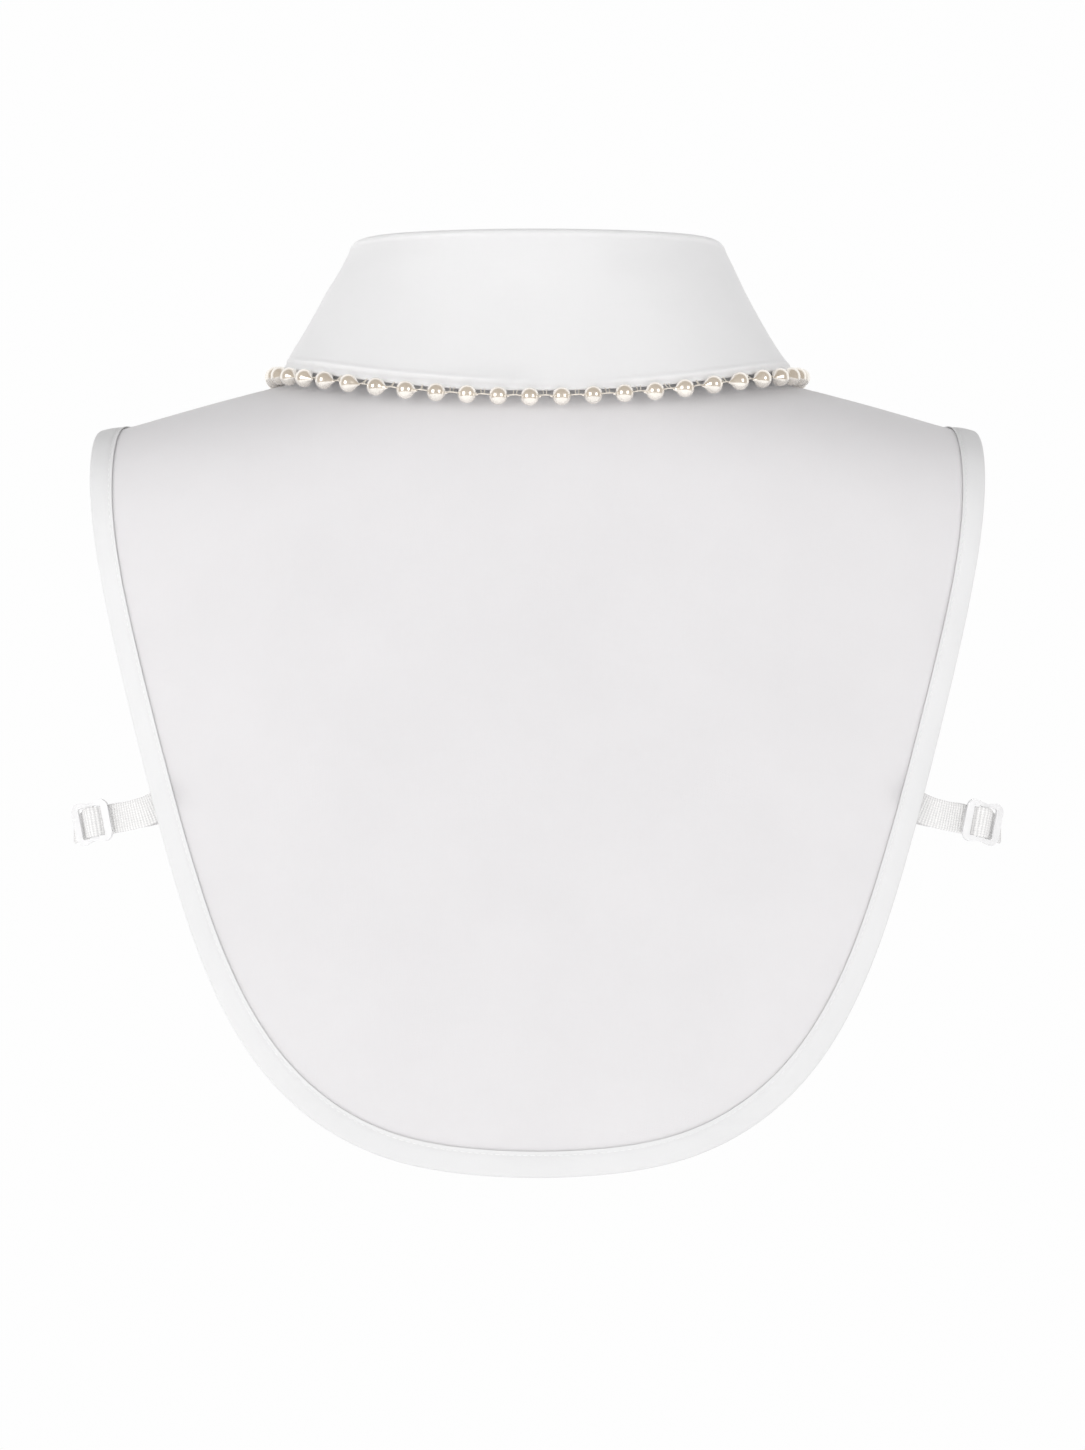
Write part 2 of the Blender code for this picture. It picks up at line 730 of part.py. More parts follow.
def pearl_route(grid):
    """Route of the thread: along the front edge, round the point, the lower edge and up the other front."""
    first = FOLD_CELLS + 2
    along = np.gradient(grid[-1], axis=0)
    ahead = unit(np.stack([-along[:, 1], along[:, 0], np.zeros(len(along))], axis=-1))
    ahead = ahead * np.sign((ahead * grid[-1]).sum(axis=1, keepdims=True))
    lower_out = ahead * PEARL_AHEAD - np.array([0.0, 0.0, PEARL_BELOW])
    lower = grid[-1] + lower_out
    left_out = unit(grid[first:, 0] - grid[first:, 1])
    down = unit(grid[-1, 0] - grid[first, 0])
    left_out = unit(left_out - (left_out @ down)[:, None] * down)
    left = grid[first:, 0] + left_out * PEARL_OUT
    right_out = unit(grid[first:, -1] - grid[first:, -2])
    down = unit(grid[-1, -1] - grid[first, -1])
    right_out = unit(right_out - (right_out @ down)[:, None] * down)
    right = grid[first:, -1] + right_out * PEARL_OUT
    tip_left = grid[-1, 0] + unit(left_out[-1] + unit(lower_out[0])) * PEARL_OUT * POINT_OUT
    tip_right = grid[-1, -1] + unit(right_out[-1] + unit(lower_out[-1])) * PEARL_OUT * POINT_OUT
    return np.concatenate([left[:-1], [tip_left], lower[1:-1], [tip_right], right[-2::-1]])


def pearl_object(grid):
    """All pearls on their thread as one turned body: each pearl's rings stand square to the thread."""
    route = pearl_route(grid)
    fine, total = spline(route, THREAD_POINTS)
    ways = np.linspace(0, total, THREAD_POINTS)
    behind_neck = np.flatnonzero(fine[:, 1] > 0)
    back = ways[behind_neck[np.argmin(np.abs(fine[behind_neck, 0]))]]
    first = (back - PEARL_START) % PEARL_PITCH
    if first < PEARL_RADIUS:
        first += PEARL_PITCH
    centres = np.arange(first, total - PEARL_RADIUS, PEARL_PITCH)
    turn = np.linspace(0, 2 * math.pi, PEARL_SIDES, endpoint=False)
    sections = []
    for way in centres:
        place, ahead, behind = (
            np.array([np.interp(way + step, ways, fine[:, k]) for k in range(3)])
            for step in (0.0, THREAD_SPAN, -THREAD_SPAN)
        )
        axis = unit(ahead - behind)
        side = unit(np.cross(axis, [0.0, 0.0, 1.0]))
        other = np.cross(axis, side)
        ring = np.cos(turn)[:, None] * side + np.sin(turn)[:, None] * other
        towards_back = way < back
        rows = PEARL_PROFILE if towards_back else [(-run, radius) for run, radius in PEARL_PROFILE[::-1]]
        for run, radius in rows:
            sections.append(place + axis * run + ring * radius)
    return swept(np.array(sections), "pearl_trim", "pearl", 80.0)


def strap_frame():
    """Points along the wearer's left strap, evenly spaced, with its outward direction and the slider's place."""
    layout = {"back": edge_stations("back")[0], "front": edge_stations("front")[0]}
    ends = {}
    for name, edge in layout.items():
        half = edge[:SIDE_CELLS + 1]
        place = figure(*half.T)
        way = np.interp(-STRAP_HEIGHT, -place[:, 2], np.arange(len(half)))
        x = np.interp(way, np.arange(len(half)), half[:, 0])
        w = np.interp(way, np.arange(len(half)), half[:, 1])
        pair = np.array([(x - STRAP_UNDER, w - STRAP_SIDEWAYS * np.sign(w)), (x + STRAP_PAST_EDGE, w)])
        point, normal = lay(pair)
        ends[name] = point - normal * STRAP_DEPTH
    rows = np.array(STRAP_ROUTE)
    route = np.concatenate([ends["back"], rows, ends["front"][::-1]])
    centre, total = spline(route, STRAP_POINTS)
    ways = np.linspace(0, total, STRAP_POINTS)
    slider = ways[np.argmin(np.linalg.norm(centre - rows[0], axis=1))]
    near, far = slider - FINE_SPAN, slider + FINE_SPAN
    before, beside, after = STRAP_CELLS
    spread = np.concatenate([
        np.linspace(0, near, before)[:-1],
        np.linspace(near, far, beside),
        np.linspace(far, total, after)[1:],
    ])
    return centre, ways, slider, spread


def strap_wave(way):
    """Height of the elastic over its plain route at a way from the slider: under, over and under its bars."""
    bar = (SLIDER_SLOT_END + SLIDER_LENGTH / 2) / 2
    way = np.abs(way)
    wave = STRAP_WAVE * np.cos(np.pi * np.minimum(way, bar) / bar)
    return wave * (1 - smooth_step((way - SLIDER_LENGTH / 2 - WAVE_HOLD) / WAVE_FADE))


def strap_axes(centre, ways, way):
    """Place, forward, outward and upward directions of the strap at one way."""
    ahead = np.array([np.interp(way + STRAP_SPAN, ways, centre[:, k]) for k in range(3)])
    behind = np.array([np.interp(way - STRAP_SPAN, ways, centre[:, k]) for k in range(3)])
    place = np.array([np.interp(way, ways, centre[:, k]) for k in range(3)])
    forward = unit(ahead - behind)
    outward = unit(np.cross(forward, [0.0, 0.0, -1.0]))
    if outward[0] < 0:
        outward = -outward
    return place, forward, outward, np.cross(forward, outward)


def strap_object(name, mirrored):
    """The elastic from the back's side edge through the slider to the front's."""
    centre, ways, slider, spread = strap_frame()
    sections = []
    half, wall = STRAP_WIDTH / 2, STRAP_WALL / 2
    for way in spread:
        place, forward, outward, upward = strap_axes(centre, ways, way)
        rise = strap_wave(way - slider + STRAP_SPAN / 10) - strap_wave(way - slider - STRAP_SPAN / 10)
        slope = rise / (STRAP_SPAN / 5)
        tilt = unit(outward - forward * slope)
        place = place + outward * strap_wave(way - slider)
        row = [place + upward * a * half + tilt * b * wall for a, b in ((1, 1), (1, -1), (-1, -1), (-1, 1))]
        sections.append(row)
    sections = np.array(sections)
    if mirrored:
        sections = sections * MIRROR
    return swept(sections, name, "elastic")


def slider_half_width(way):
    """Half the slider's width across the elastic: two round lobes with a waist at the middle bar."""
    end = SLIDER_LENGTH / 2
    lobe = 1 - SLIDER_WAIST / (SLIDER_WIDTH / 2) * np.cos(np.pi * way / end / SLIDER_LOBE_SPAN) ** 2
    inside = np.clip((end - np.abs(way)) / SLIDER_CORNER, 0, 1)
    return SLIDER_WIDTH / 2 * lobe - SLIDER_CORNER * (1 - np.sqrt(1 - (1 - inside) ** 2))


def slider_object(name, mirrored):
    """The figure-of-eight slider: a plate with two slots, square to the strap's route at its place."""
    end = SLIDER_LENGTH / 2
    round_end = end - SLIDER_CORNER * SLIDER_CORNER_SHARES
    slot = np.array([SLIDER_BAR, (SLIDER_BAR + SLIDER_SLOT_END) / 2, SLIDER_SLOT_END])
    ways = sorted({round(float(way), 4) for way in np.concatenate([round_end, -round_end, slot, -slot, [0.0]])})
    rows = np.array([(way, side * width) for way in ways
                     for side, width in ((-1, float(slider_half_width(way))), (-1, SLIDER_SLOT_HALF),
                                         (1, SLIDER_SLOT_HALF), (1, float(slider_half_width(way))))])
    faces = []
    for i in range(len(ways) - 1):
        middle = abs(ways[i] + ways[i + 1]) / 2
        open_here = SLIDER_BAR < middle < SLIDER_SLOT_END
        for j in range(3):
            if not (open_here and j == 1):
                a = i * 4 + j
                faces.append([a, a + 1, a + 5, a + 4])
    centre, strap_ways, slider, _ = strap_frame()
    place, forward, outward, upward = strap_axes(centre, strap_ways, slider)
    points = place + rows[:, :1] * forward + rows[:, 1:] * upward
    normals = np.broadcast_to(np.cross(forward, upward), points.shape)
    shell, quads = wall_mesh(points, normals, faces, SLIDER_WALL)
    if mirrored:
        shell = shell * MIRROR
    if enclosed_volume(shell, quads) < 0:
        quads = [face[::-1] for face in quads]
    return add_object(name, shell, quads, "clear_white_plastic", 30.0)


# Profile of a button: radius and height as shares of its radius and wall
BUTTON_PROFILE = [(0.62, 0.72), (0.72, 1.0), (0.90, 1.0), (1.0, 0.62), (1.0, 0.3), (0.86, 0.0)]


def button_object(name, place, normal):
    """A round button with a raised rim, lying on the cloth at a place and facing along a normal."""
    side = unit(np.cross(normal, [1.0, 0.0, 0.0]))
    other = np.cross(normal, side)
    turn = np.linspace(0, 2 * math.pi, BUTTON_SIDES, endpoint=False)
    ring = np.cos(turn)[:, None] * side + np.sin(turn)[:, None] * other
    sections = np.array([place + ring * BUTTON_RADIUS * r + normal * BUTTON_WALL * h for r, h in BUTTON_PROFILE])
    return swept(sections, name, "button_plastic", 35.0)


def add_buttons():
    """The closing: one button on the stand and the rest down the lapped front."""
    outer, axis = stand_top(-math.pi)
    foot = stand_foot(-math.pi)
    place = (1 - STAND_BUTTON_SHARE) * foot + STAND_BUTTON_SHARE * outer
    button_object("button_1", place + axis * (COLLAR_WALL / 2 + SEAM_GAP), axis)
    for number, way in enumerate(FRONT_BUTTON_WAYS, 2):
        point, normal = lay(np.array([(0.0, way)]), lifted=True)
        button_object(f"button_{number}", point[0] + normal[0] * (CLOTH / 2 + SEAM_GAP), normal[0])


def main():
    """Clear the scene and make every piece."""
    for thing in list(bpy.data.objects):
        bpy.data.objects.remove(thing, do_unlink=True)
    back, front = back_layout(), front_layout()
    panel_object("back_panel", back, "back")
    panel_object("front_panel_left", front, "front")
    panel_object("front_panel_right", front, "front", lifted=True, mirrored=True)
    binding_object("binding_back", back, "back")
    binding_object("binding_front_left", front, "front")
    binding_object("binding_front_right", front, "front", lifted=True, mirrored=True)
    stand_object()
    grid = fall_grid()
    fall_object(grid)
    pearl_object(grid)
    for side, mirrored in (("left", False), ("right", True)):
        strap_object(f"strap_{side}", mirrored)
        slider_object(f"slider_{side}", mirrored)
    add_buttons()


main()
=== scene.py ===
# %% [markdown]
# # A detachable shirt collar with a pearl edge
# The real object is a shirt collar on a sleeveless bib, worn under a jumper so that only the collar shows. A back
# and two fronts hang from the shoulders, a stand and a turned-down fall go round the neck, and elastic straps
# hold the sides together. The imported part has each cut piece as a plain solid. This lesson lays a thin cloth
# piece on the form of each solid, and works the shapes out with numpy, because a garment follows a body and a
# body is easier to write down than to push about by hand.

import math

import bpy
import numpy as np
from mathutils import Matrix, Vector


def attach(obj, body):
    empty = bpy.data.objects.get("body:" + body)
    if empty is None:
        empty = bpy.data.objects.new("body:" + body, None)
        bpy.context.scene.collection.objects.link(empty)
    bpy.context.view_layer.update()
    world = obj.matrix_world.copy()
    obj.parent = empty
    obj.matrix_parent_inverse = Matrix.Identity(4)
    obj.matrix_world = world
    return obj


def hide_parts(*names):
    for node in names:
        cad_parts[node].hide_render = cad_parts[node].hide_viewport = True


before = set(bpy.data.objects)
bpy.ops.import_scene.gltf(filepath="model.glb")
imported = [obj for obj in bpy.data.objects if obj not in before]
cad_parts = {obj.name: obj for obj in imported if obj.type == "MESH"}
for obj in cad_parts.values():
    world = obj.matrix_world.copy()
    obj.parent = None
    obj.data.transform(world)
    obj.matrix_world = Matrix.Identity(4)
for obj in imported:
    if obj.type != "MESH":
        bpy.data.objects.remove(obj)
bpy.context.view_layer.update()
print("plain pieces:", ", ".join(sorted(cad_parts)))

# %% [markdown]
# ## Camera
# The collar is seen straight from behind, at the height of the middle of the back. A long lens from 2.6 m away
# keeps the near and far edges at almost the same scale, as in a catalogue picture.

# %% Camera behind the wearer's back
CAMERA_AWAY = 2.6
VIEW_HEIGHT = 0.558
lens = bpy.data.cameras.new("camera")
lens.sensor_width = 36.0
lens.lens = lens.sensor_width * CAMERA_AWAY / VIEW_HEIGHT
camera = bpy.data.objects.new("camera", lens)
camera.location = (-0.0019, CAMERA_AWAY, -0.1413)
camera.rotation_euler = (math.pi / 2, 0.0, math.pi)
bpy.context.scene.collection.objects.link(camera)
bpy.context.scene.camera = camera
print(f"lens {lens.lens:.1f} mm")

# %% [markdown]
# ## Light
# White cloth on a white ground needs light from almost everywhere, or its shadow side turns grey. The world gives
# that: a fill that is brighter low down, so that the cloth under the collar's edge is not dark, and four soft
# patches, behind, before and at both sides. A pearl is a mirror, though, and what gives it a shape is a room darker
# and warmer than the cloth, so glossy rays see a dim room on the camera's side, and the bright backdrop only round
# the pearl's rim. Two soft boxes stand 40 degrees left and right of the camera, the left one a little stronger, and
# each pearl mirrors both of them side by side. The Standard view keeps white paper white.

# %% World and soft boxes
bpy.context.scene.view_settings.view_transform = "Standard"
TO_CAMERA, FILL_LEAN, FILL_REACH = (0.0, 1.0, 0.0), (0.0, 0.5, -0.85), 0.8
FILL_ABOVE, FILL_BELOW = (0.40, 0.398, 0.40), (0.62, 0.616, 0.62)
# columns: direction, where on it the patch starts and is full, its strength
SOFT_PATCHES = [
    ((0.0, 0.99, -0.14), 0.86, 0.98, 1.9), ((0.0, -0.99, -0.14), 0.50, 0.98, 1.2),
    ((1.0, 0.0, 0.0), 0.75, 0.95, 0.90), ((-1.0, 0.0, 0.0), 0.75, 0.95, 0.68),
]
MIRROR_BEHIND, MIRROR_BEFORE = (1.02, 1.01, 1.0), (0.38, 0.31, 0.23)
PAPER_WHITE = (0.99, 0.99, 0.99)

world = bpy.data.worlds.new("studio")
bpy.context.scene.world = world
world.use_nodes = True
tree = world.node_tree
tree.nodes.clear()
way = tree.nodes.new("ShaderNodeTexCoord")


def world_light(lean, start, end, behind, before):
    """A background that goes from one colour to another along a direction, between two heights on it."""
    share = tree.nodes.new("ShaderNodeVectorMath")
    share.operation = "DOT_PRODUCT"
    share.inputs[1].default_value = lean
    tree.links.new(way.outputs["Generated"], share.inputs[0])
    level = tree.nodes.new("ShaderNodeMapRange")
    level.inputs["From Min"].default_value, level.inputs["From Max"].default_value = start, end
    tree.links.new(share.outputs["Value"], level.inputs["Value"])
    colour = tree.nodes.new("ShaderNodeMix")
    colour.data_type = "RGBA"
    colour.inputs["A"].default_value, colour.inputs["B"].default_value = (*behind, 1), (*before, 1)
    tree.links.new(level.outputs["Result"], colour.inputs["Factor"])
    light = tree.nodes.new("ShaderNodeBackground")
    tree.links.new(colour.outputs["Result"], light.inputs["Color"])
    return light


light = world_light(FILL_LEAN, -FILL_REACH, FILL_REACH, FILL_ABOVE, FILL_BELOW)
for lean, start, full, strength in SOFT_PATCHES:
    both = tree.nodes.new("ShaderNodeAddShader")
    tree.links.new(light.outputs[0], both.inputs[0])
    tree.links.new(world_light(lean, start, full, (0.0,) * 3, (strength,) * 3).outputs[0], both.inputs[1])
    light = both
room = world_light(TO_CAMERA, -0.32, 0.0, MIRROR_BEHIND, MIRROR_BEFORE)
paper = world_light(TO_CAMERA, -1.0, 1.0, PAPER_WHITE, PAPER_WHITE)
ray = tree.nodes.new("ShaderNodeLightPath")
for kind, other in (("Is Glossy Ray", room), ("Is Camera Ray", paper)):
    mix = tree.nodes.new("ShaderNodeMixShader")
    tree.links.new(ray.outputs[kind], mix.inputs[0])
    tree.links.new(light.outputs[0], mix.inputs[1])
    tree.links.new(other.outputs[0], mix.inputs[2])
    light = mix
out = tree.nodes.new("ShaderNodeOutputWorld")
tree.links.new(light.outputs[0], out.inputs["Surface"])


def soft_box(name, place, size, power):
    """A rectangular area light at a place in metres, aimed at the middle of the back."""
    lamp = bpy.data.lights.new(name, "AREA")
    lamp.shape = "RECTANGLE"
    lamp.size, lamp.size_y = size
    lamp.energy = power
    thing = bpy.data.objects.new(name, lamp)
    thing.location = place
    thing.rotation_euler = (Vector((0, 0, -0.1)) - Vector(place)).to_track_quat("-Z", "Y").to_euler()
    bpy.context.scene.collection.objects.link(thing)


soft_box("soft_box_left", (1.6, 1.95, 0.36), (1.25, 1.4), 16.0)
soft_box("soft_box_right", (-1.55, 1.95, 0.34), (1.05, 1.25), 10.0)

# %% [markdown]
# ## From numbers to meshes
# Every cloth piece here is a pair of grids: its outer face and its inner face, with the same rows and columns.
# Joining the two along their borders gives a closed wall with an even cloth thickness. The pattern coordinates
# (UV) are in metres along the cloth, so that a thread is a thread on every piece.

# %% Mesh helpers
MM = 0.001
made = {}


def unit(vectors):
    """Each vector divided by its length."""
    return vectors / np.maximum(np.linalg.norm(vectors, axis=-1, keepdims=True), 1e-12)


def smooth_step(value):
    """0 below 0, 1 above 1, and 3v^2 - 2v^3 between."""
    value = np.clip(value, 0.0, 1.0)
    return value * value * (3.0 - 2.0 * value)


def full_turn(count):
    """Even angles all the way round, without the last one, which is the first again."""
    return np.linspace(0, 2 * np.pi, count, endpoint=False)


def cloth_grid(u, v):
    """Pattern coordinates in metres from two arrays of millimetres."""
    return np.stack(np.broadcast_arrays(u, v), axis=-1) * MM


def tell(name):
    """Prints how many faces a piece has."""
    print(name, len(made[name].data.polygons), "faces")


def lengths(line):
    """Length so far at each point along a line, or along each column of a grid."""
    step = np.linalg.norm(np.diff(line, axis=0), axis=-1)
    return np.concatenate([np.zeros_like(step[:1]), np.cumsum(step, axis=0)])


def along_line(ways, marks, line):
    """Points at the given ways on a line whose own points lie at the ways called marks."""
    return np.stack([np.interp(ways, marks, line[:, k]) for k in range(3)], axis=-1)


def rings(line, side, other, radius, count):
    """A ring of points round each point of a line: radius times (cos a times side, plus sin a times other)."""
    turn = full_turn(count)[:, None]
    spoke = np.cos(turn) * side[..., None, :] + np.sin(turn) * other[..., None, :]
    return line[..., None, :] + np.asarray(radius)[..., None, None] * spoke


def grid_quads(rows, columns, around=False):
    """Corner numbers of every cell of a grid, also from the last column to the first where it goes around."""
    index = np.arange(rows * columns).reshape(rows, columns)
    if around:
        index = np.concatenate([index, index[:, :1]], axis=1)
    corners = index[:-1, :-1], index[:-1, 1:], index[1:, 1:], index[1:, :-1]
    return np.stack(corners, axis=-1).reshape(-1, 4)


def volume_of(points, quads):
    """Six times the signed volume inside closed quads: the sum of the triple products of their triangles."""
    a, b, c, d = (points[quads[:, k]] for k in range(4))
    return (np.cross(a, b) * c).sum() + (np.cross(a, c) * d).sum()


def add_piece(name, points, faces, pattern=None, sharp=50.0):
    """Puts points in millimetres and faces into a mesh object. pattern holds u and v in metres for each point."""
    mesh = bpy.data.meshes.new(name)
    mesh.from_pydata((np.asarray(points) * MM).tolist(), [], faces)
    if pattern is not None:
        corner = np.zeros(len(mesh.loops), np.int32)
        mesh.loops.foreach_get("vertex_index", corner)
        layer = mesh.uv_layers.new(name="cloth")
        layer.data.foreach_set("uv", np.asarray(pattern, np.float32)[corner].ravel())
    mesh.shade_smooth()
    if sharp is not None:
        mesh.set_sharp_from_angle(angle=math.radians(sharp))
    piece = bpy.data.objects.new(name, mesh)
    bpy.context.scene.collection.objects.link(piece)
    made[name] = piece
    return piece


def wall(name, outer, inner, pattern, sharp=50.0):
    """A closed wall between two grids of points of the same shape."""
    rows, columns = outer.shape[:2]
    count = rows * columns
    index = np.arange(count).reshape(rows, columns)
    quads = grid_quads(rows, columns)
    border = np.concatenate([index[0, :-1], index[:-1, -1], index[-1, :0:-1], index[:0:-1, 0]])
    ahead = np.roll(border, -1)
    rim = np.stack([ahead, border, border + count, ahead + count], axis=-1)
    faces = np.concatenate([quads, quads[:, ::-1] + count, rim])
    points = np.concatenate([outer.reshape(-1, 3), inner.reshape(-1, 3)])
    if volume_of(points, faces) < 0:
        faces = faces[:, ::-1]
    both = np.concatenate([pattern.reshape(-1, 2)] * 2)
    return add_piece(name, points, faces.tolist(), both, sharp)


def tubes(name, sections, pattern=None, sharp=60.0):
    """Closed tubes from an array of sections: tube, ring along it, point round the ring, then x, y and z."""
    count, rings, sides = sections.shape[:3]
    one = grid_quads(rings, sides, around=True)
    points = sections.reshape(-1, 3)
    starts = np.arange(count)[:, None, None] * rings * sides
    quads = (one[None] + starts).reshape(-1, 4)
    first = np.arange(sides)[::-1][None] + starts[:, 0]
    last = np.arange(sides)[None] + (rings - 1) * sides + starts[:, 0]
    if volume_of(points[: rings * sides], one) < 0:
        quads, first, last = quads[:, ::-1], first[:, ::-1], last[:, ::-1]
    faces = quads.tolist() + first.tolist() + last.tolist()
    return add_piece(name, points, faces, None if pattern is None else pattern.reshape(-1, 2), sharp)


# %% [markdown]
# Curves drawn through a few points use the natural cubic spline, the curve that a thin flexible batten takes
# between pins. A collar pattern is drafted with the same tool.

# %% A batten curve with even steps
def even_curve(points, count, start=0.0, end=None):
    """count points at even steps of length on the natural cubic through the given points, and its whole length.

    Between two pins the curve is the chord plus (a^3 - a) and (b^3 - b) times the bend at each pin, with the
    bends found so that the slope is the same on both sides of every pin and the bend is nothing at the ends."""
    points = np.asarray(points, float)
    step = np.linalg.norm(np.diff(points, axis=0), axis=1)
    pins = np.concatenate(([0.0], np.cumsum(step)))
    inner = np.arange(1, len(points) - 1)
    matrix, right = np.eye(len(points)), np.zeros_like(points)
    matrix[inner, inner - 1], matrix[inner, inner + 1] = step[:-1], step[1:]
    matrix[inner, inner] = 2 * (step[:-1] + step[1:])
    right[inner] = 6 * np.diff(np.diff(points, axis=0) / step[:, None], axis=0)
    bend = np.linalg.solve(matrix, right)

    def at(place):
        i = np.clip(np.searchsorted(pins, place, side="right") - 1, 0, len(step) - 1)
        h = step[i][:, None]
        a = (pins[i + 1] - place)[:, None] / h
        b = 1 - a
        return a * points[i] + b * points[i + 1] + ((a**3 - a) * bend[i] + (b**3 - b) * bend[i + 1]) * h * h / 6

    fine = np.linspace(0, pins[-1], 3000)
    along = lengths(at(fine))
    end = along[-1] if end is None else end
    return at(np.interp(np.linspace(start, end, count), along, fine)), along[-1]


# %% [markdown]
# ## The general figure
# The bib is filled out as if it were worn, so it needs a body. Seen from the front, the shoulders are one curve,
# a hyperbola. From there each side rolls over a rounded top and then hangs: the back straight down, the front
# along the slope of the chest. A point of cloth is named by x, across the wearer, and w, its way over the
# shoulder ridge, positive down the back. These are the same formulas and sizes as in the part's own source.

# %% Shoulders, back and chest
RIDGE_TOP, RIDGE_SLOPE, RIDGE_ROUND, TIP_START, TIP_LIFT = 41.2, 0.36, 110.0, 150.0, 0.005
FIGURE_HALF_WIDTH, FIGURE_POWER, CHEST_ROUND, HANG_LENGTH, RIDGE_HALF_WIDTH = 200.0, 2.5, 15.0, 200.0, 166.4
# columns: depth, drop, power, slope, ease, tuck
SIDES = {
    "back": (96.0, 60.0, 2.7, 0.0, 0.0, 7.0),
    "front": (100.0, 78.0, 2.5, 0.75, 0.5, 6.0),
}


def unit_roll(power):
    """A quarter of a superellipse: its length so far, its run sin^(2/p) and its drop 1 - cos^(2/p)."""
    angle = np.linspace(0, math.pi / 2, 500)
    run, drop = np.sin(angle) ** (2 / power), 1 - np.cos(angle) ** (2 / power)
    run[-1] = drop[-1] = 1.0
    return lengths(np.stack([run, drop], axis=-1)), run, drop


ROLLS = {name: unit_roll(row[2]) for name, row in SIDES.items()}


def side_sizes(x, name):
    """Depth of the figure at x, its forward slope there, and the length of the rounded top over its unit length."""
    depth, drop, _, slope, ease, _ = SIDES[name]
    depth = depth * (1 - (np.abs(x) / FIGURE_HALF_WIDTH) ** FIGURE_POWER) ** (1 / FIGURE_POWER)
    slope = slope * (1 - ease * (x / RIDGE_HALF_WIDTH) ** 2)
    return depth, slope, np.sqrt((depth**2 + (drop + slope * depth) ** 2) / 2)


def one_side(x, w, name):
    """Depth and height: the ridge's height, less the roll's drop, the chest's slope, and what hangs below it."""
    _, drop, _, _, _, tuck = SIDES[name]
    depth, slope, reach = side_sizes(x, name)
    length, run, fall = ROLLS[name]
    y = depth * np.interp(w / reach, length, run)
    ridge = RIDGE_TOP - RIDGE_SLOPE * np.sqrt(x**2 + RIDGE_ROUND**2)
    ridge = ridge + TIP_LIFT * np.maximum(np.abs(x) - TIP_START, 0) ** 2
    hang = np.maximum(w - length[-1] * reach, 0)
    forward = slope * (np.sqrt(y**2 + CHEST_ROUND**2) - CHEST_ROUND)
    z = ridge - drop * np.interp(w / reach, length, fall) - forward - hang
    return y - tuck * (hang / HANG_LENGTH) ** 2, z


def figure(x, w):
    """Points of the figure, the back for w over 0 and the front for w under 0."""
    x, w = np.broadcast_arrays(np.asarray(x, float), np.asarray(w, float))
    (back_y, back_z), (front_y, front_z) = (one_side(x, np.abs(w), name) for name in ("back", "front"))
    return np.stack([x, np.where(w >= 0, back_y, -front_y), np.where(w >= 0, back_z, front_z)], axis=-1)


def figure_normal(x, w):
    """Outward direction: a small step across crossed with a small step down."""
    e = 0.4
    return unit(np.cross(figure(x + e, w) - figure(x - e, w), figure(x, w + e) - figure(x, w - e)))


def way_to_depth(x, y):
    """The way w at which the rounded top reaches the depth y."""
    ways = []
    for name in ("back", "front"):
        depth, _, reach = side_sizes(x, name)
        length, run, _ = ROLLS[name]
        ways.append(np.interp(np.abs(y) / depth, run, length) * reach)
    return np.where(y >= 0, ways[0], -ways[1])


print("middle of the back, 200 mm down:", figure(0.0, 200.0).round(1))

# %% [markdown]
# ## Soft troughs and ridges
# Cotton that hangs from a neck seam is never quite smooth. Long shallow troughs run out from the collar, short
# ones pull towards each strap, and the hem swings a little. Each is one row of a table: a line on the cloth, a
# width and a height, none the same as its neighbour. The back in the picture is nearly smooth, so its rows stay
# under a millimetre. The fronts close with buttons, which pull a little more.

# %% Table of troughs and ridges
# columns: start across, start way, end across, end way, width, height, all in millimetres
BACK_FOLDS = np.array([
    (118.0, 212.0, 62.0, 178.0, 13.0, 0.70),
    (112.0, 236.0, 58.0, 224.0, 11.0, -0.50),
    (-120.0, 205.0, -56.0, 182.0, 14.0, 0.60),
    (-115.0, 232.0, -70.0, 230.0, 10.0, -0.55),
    (66.0, 84.0, 88.0, 170.0, 17.0, -0.55),
    (24.0, 98.0, 36.0, 196.0, 22.0, 0.45),
    (-40.0, 92.0, -30.0, 180.0, 18.0, -0.50),
    (-78.0, 88.0, -104.0, 160.0, 15.0, 0.55),
    (44.0, 262.0, 30.0, 330.0, 20.0, 0.80),
    (-8.0, 270.0, -14.0, 345.0, 17.0, -0.65),
    (-62.0, 250.0, -50.0, 320.0, 18.0, 0.70),
    (132.0, 60.0, 118.0, 120.0, 12.0, -0.45),
    (-128.0, 66.0, -122.0, 128.0, 13.0, -0.40),
])
FRONT_FOLDS = np.array([
    (118.0, -206.0, 48.0, -170.0, 12.0, 0.90),
    (112.0, -228.0, 60.0, -222.0, 10.0, -0.70),
    (20.0, -112.0, 78.0, -132.0, 9.0, 0.75),
    (22.0, -168.0, 70.0, -196.0, 9.0, -0.65),
    (64.0, -92.0, 96.0, -160.0, 14.0, -0.80),
    (100.0, -80.0, 124.0, -140.0, 12.0, 0.65),
    (60.0, -240.0, 46.0, -300.0, 15.0, 0.95),
    (24.0, -246.0, 26.0, -310.0, 12.0, -0.75),
])


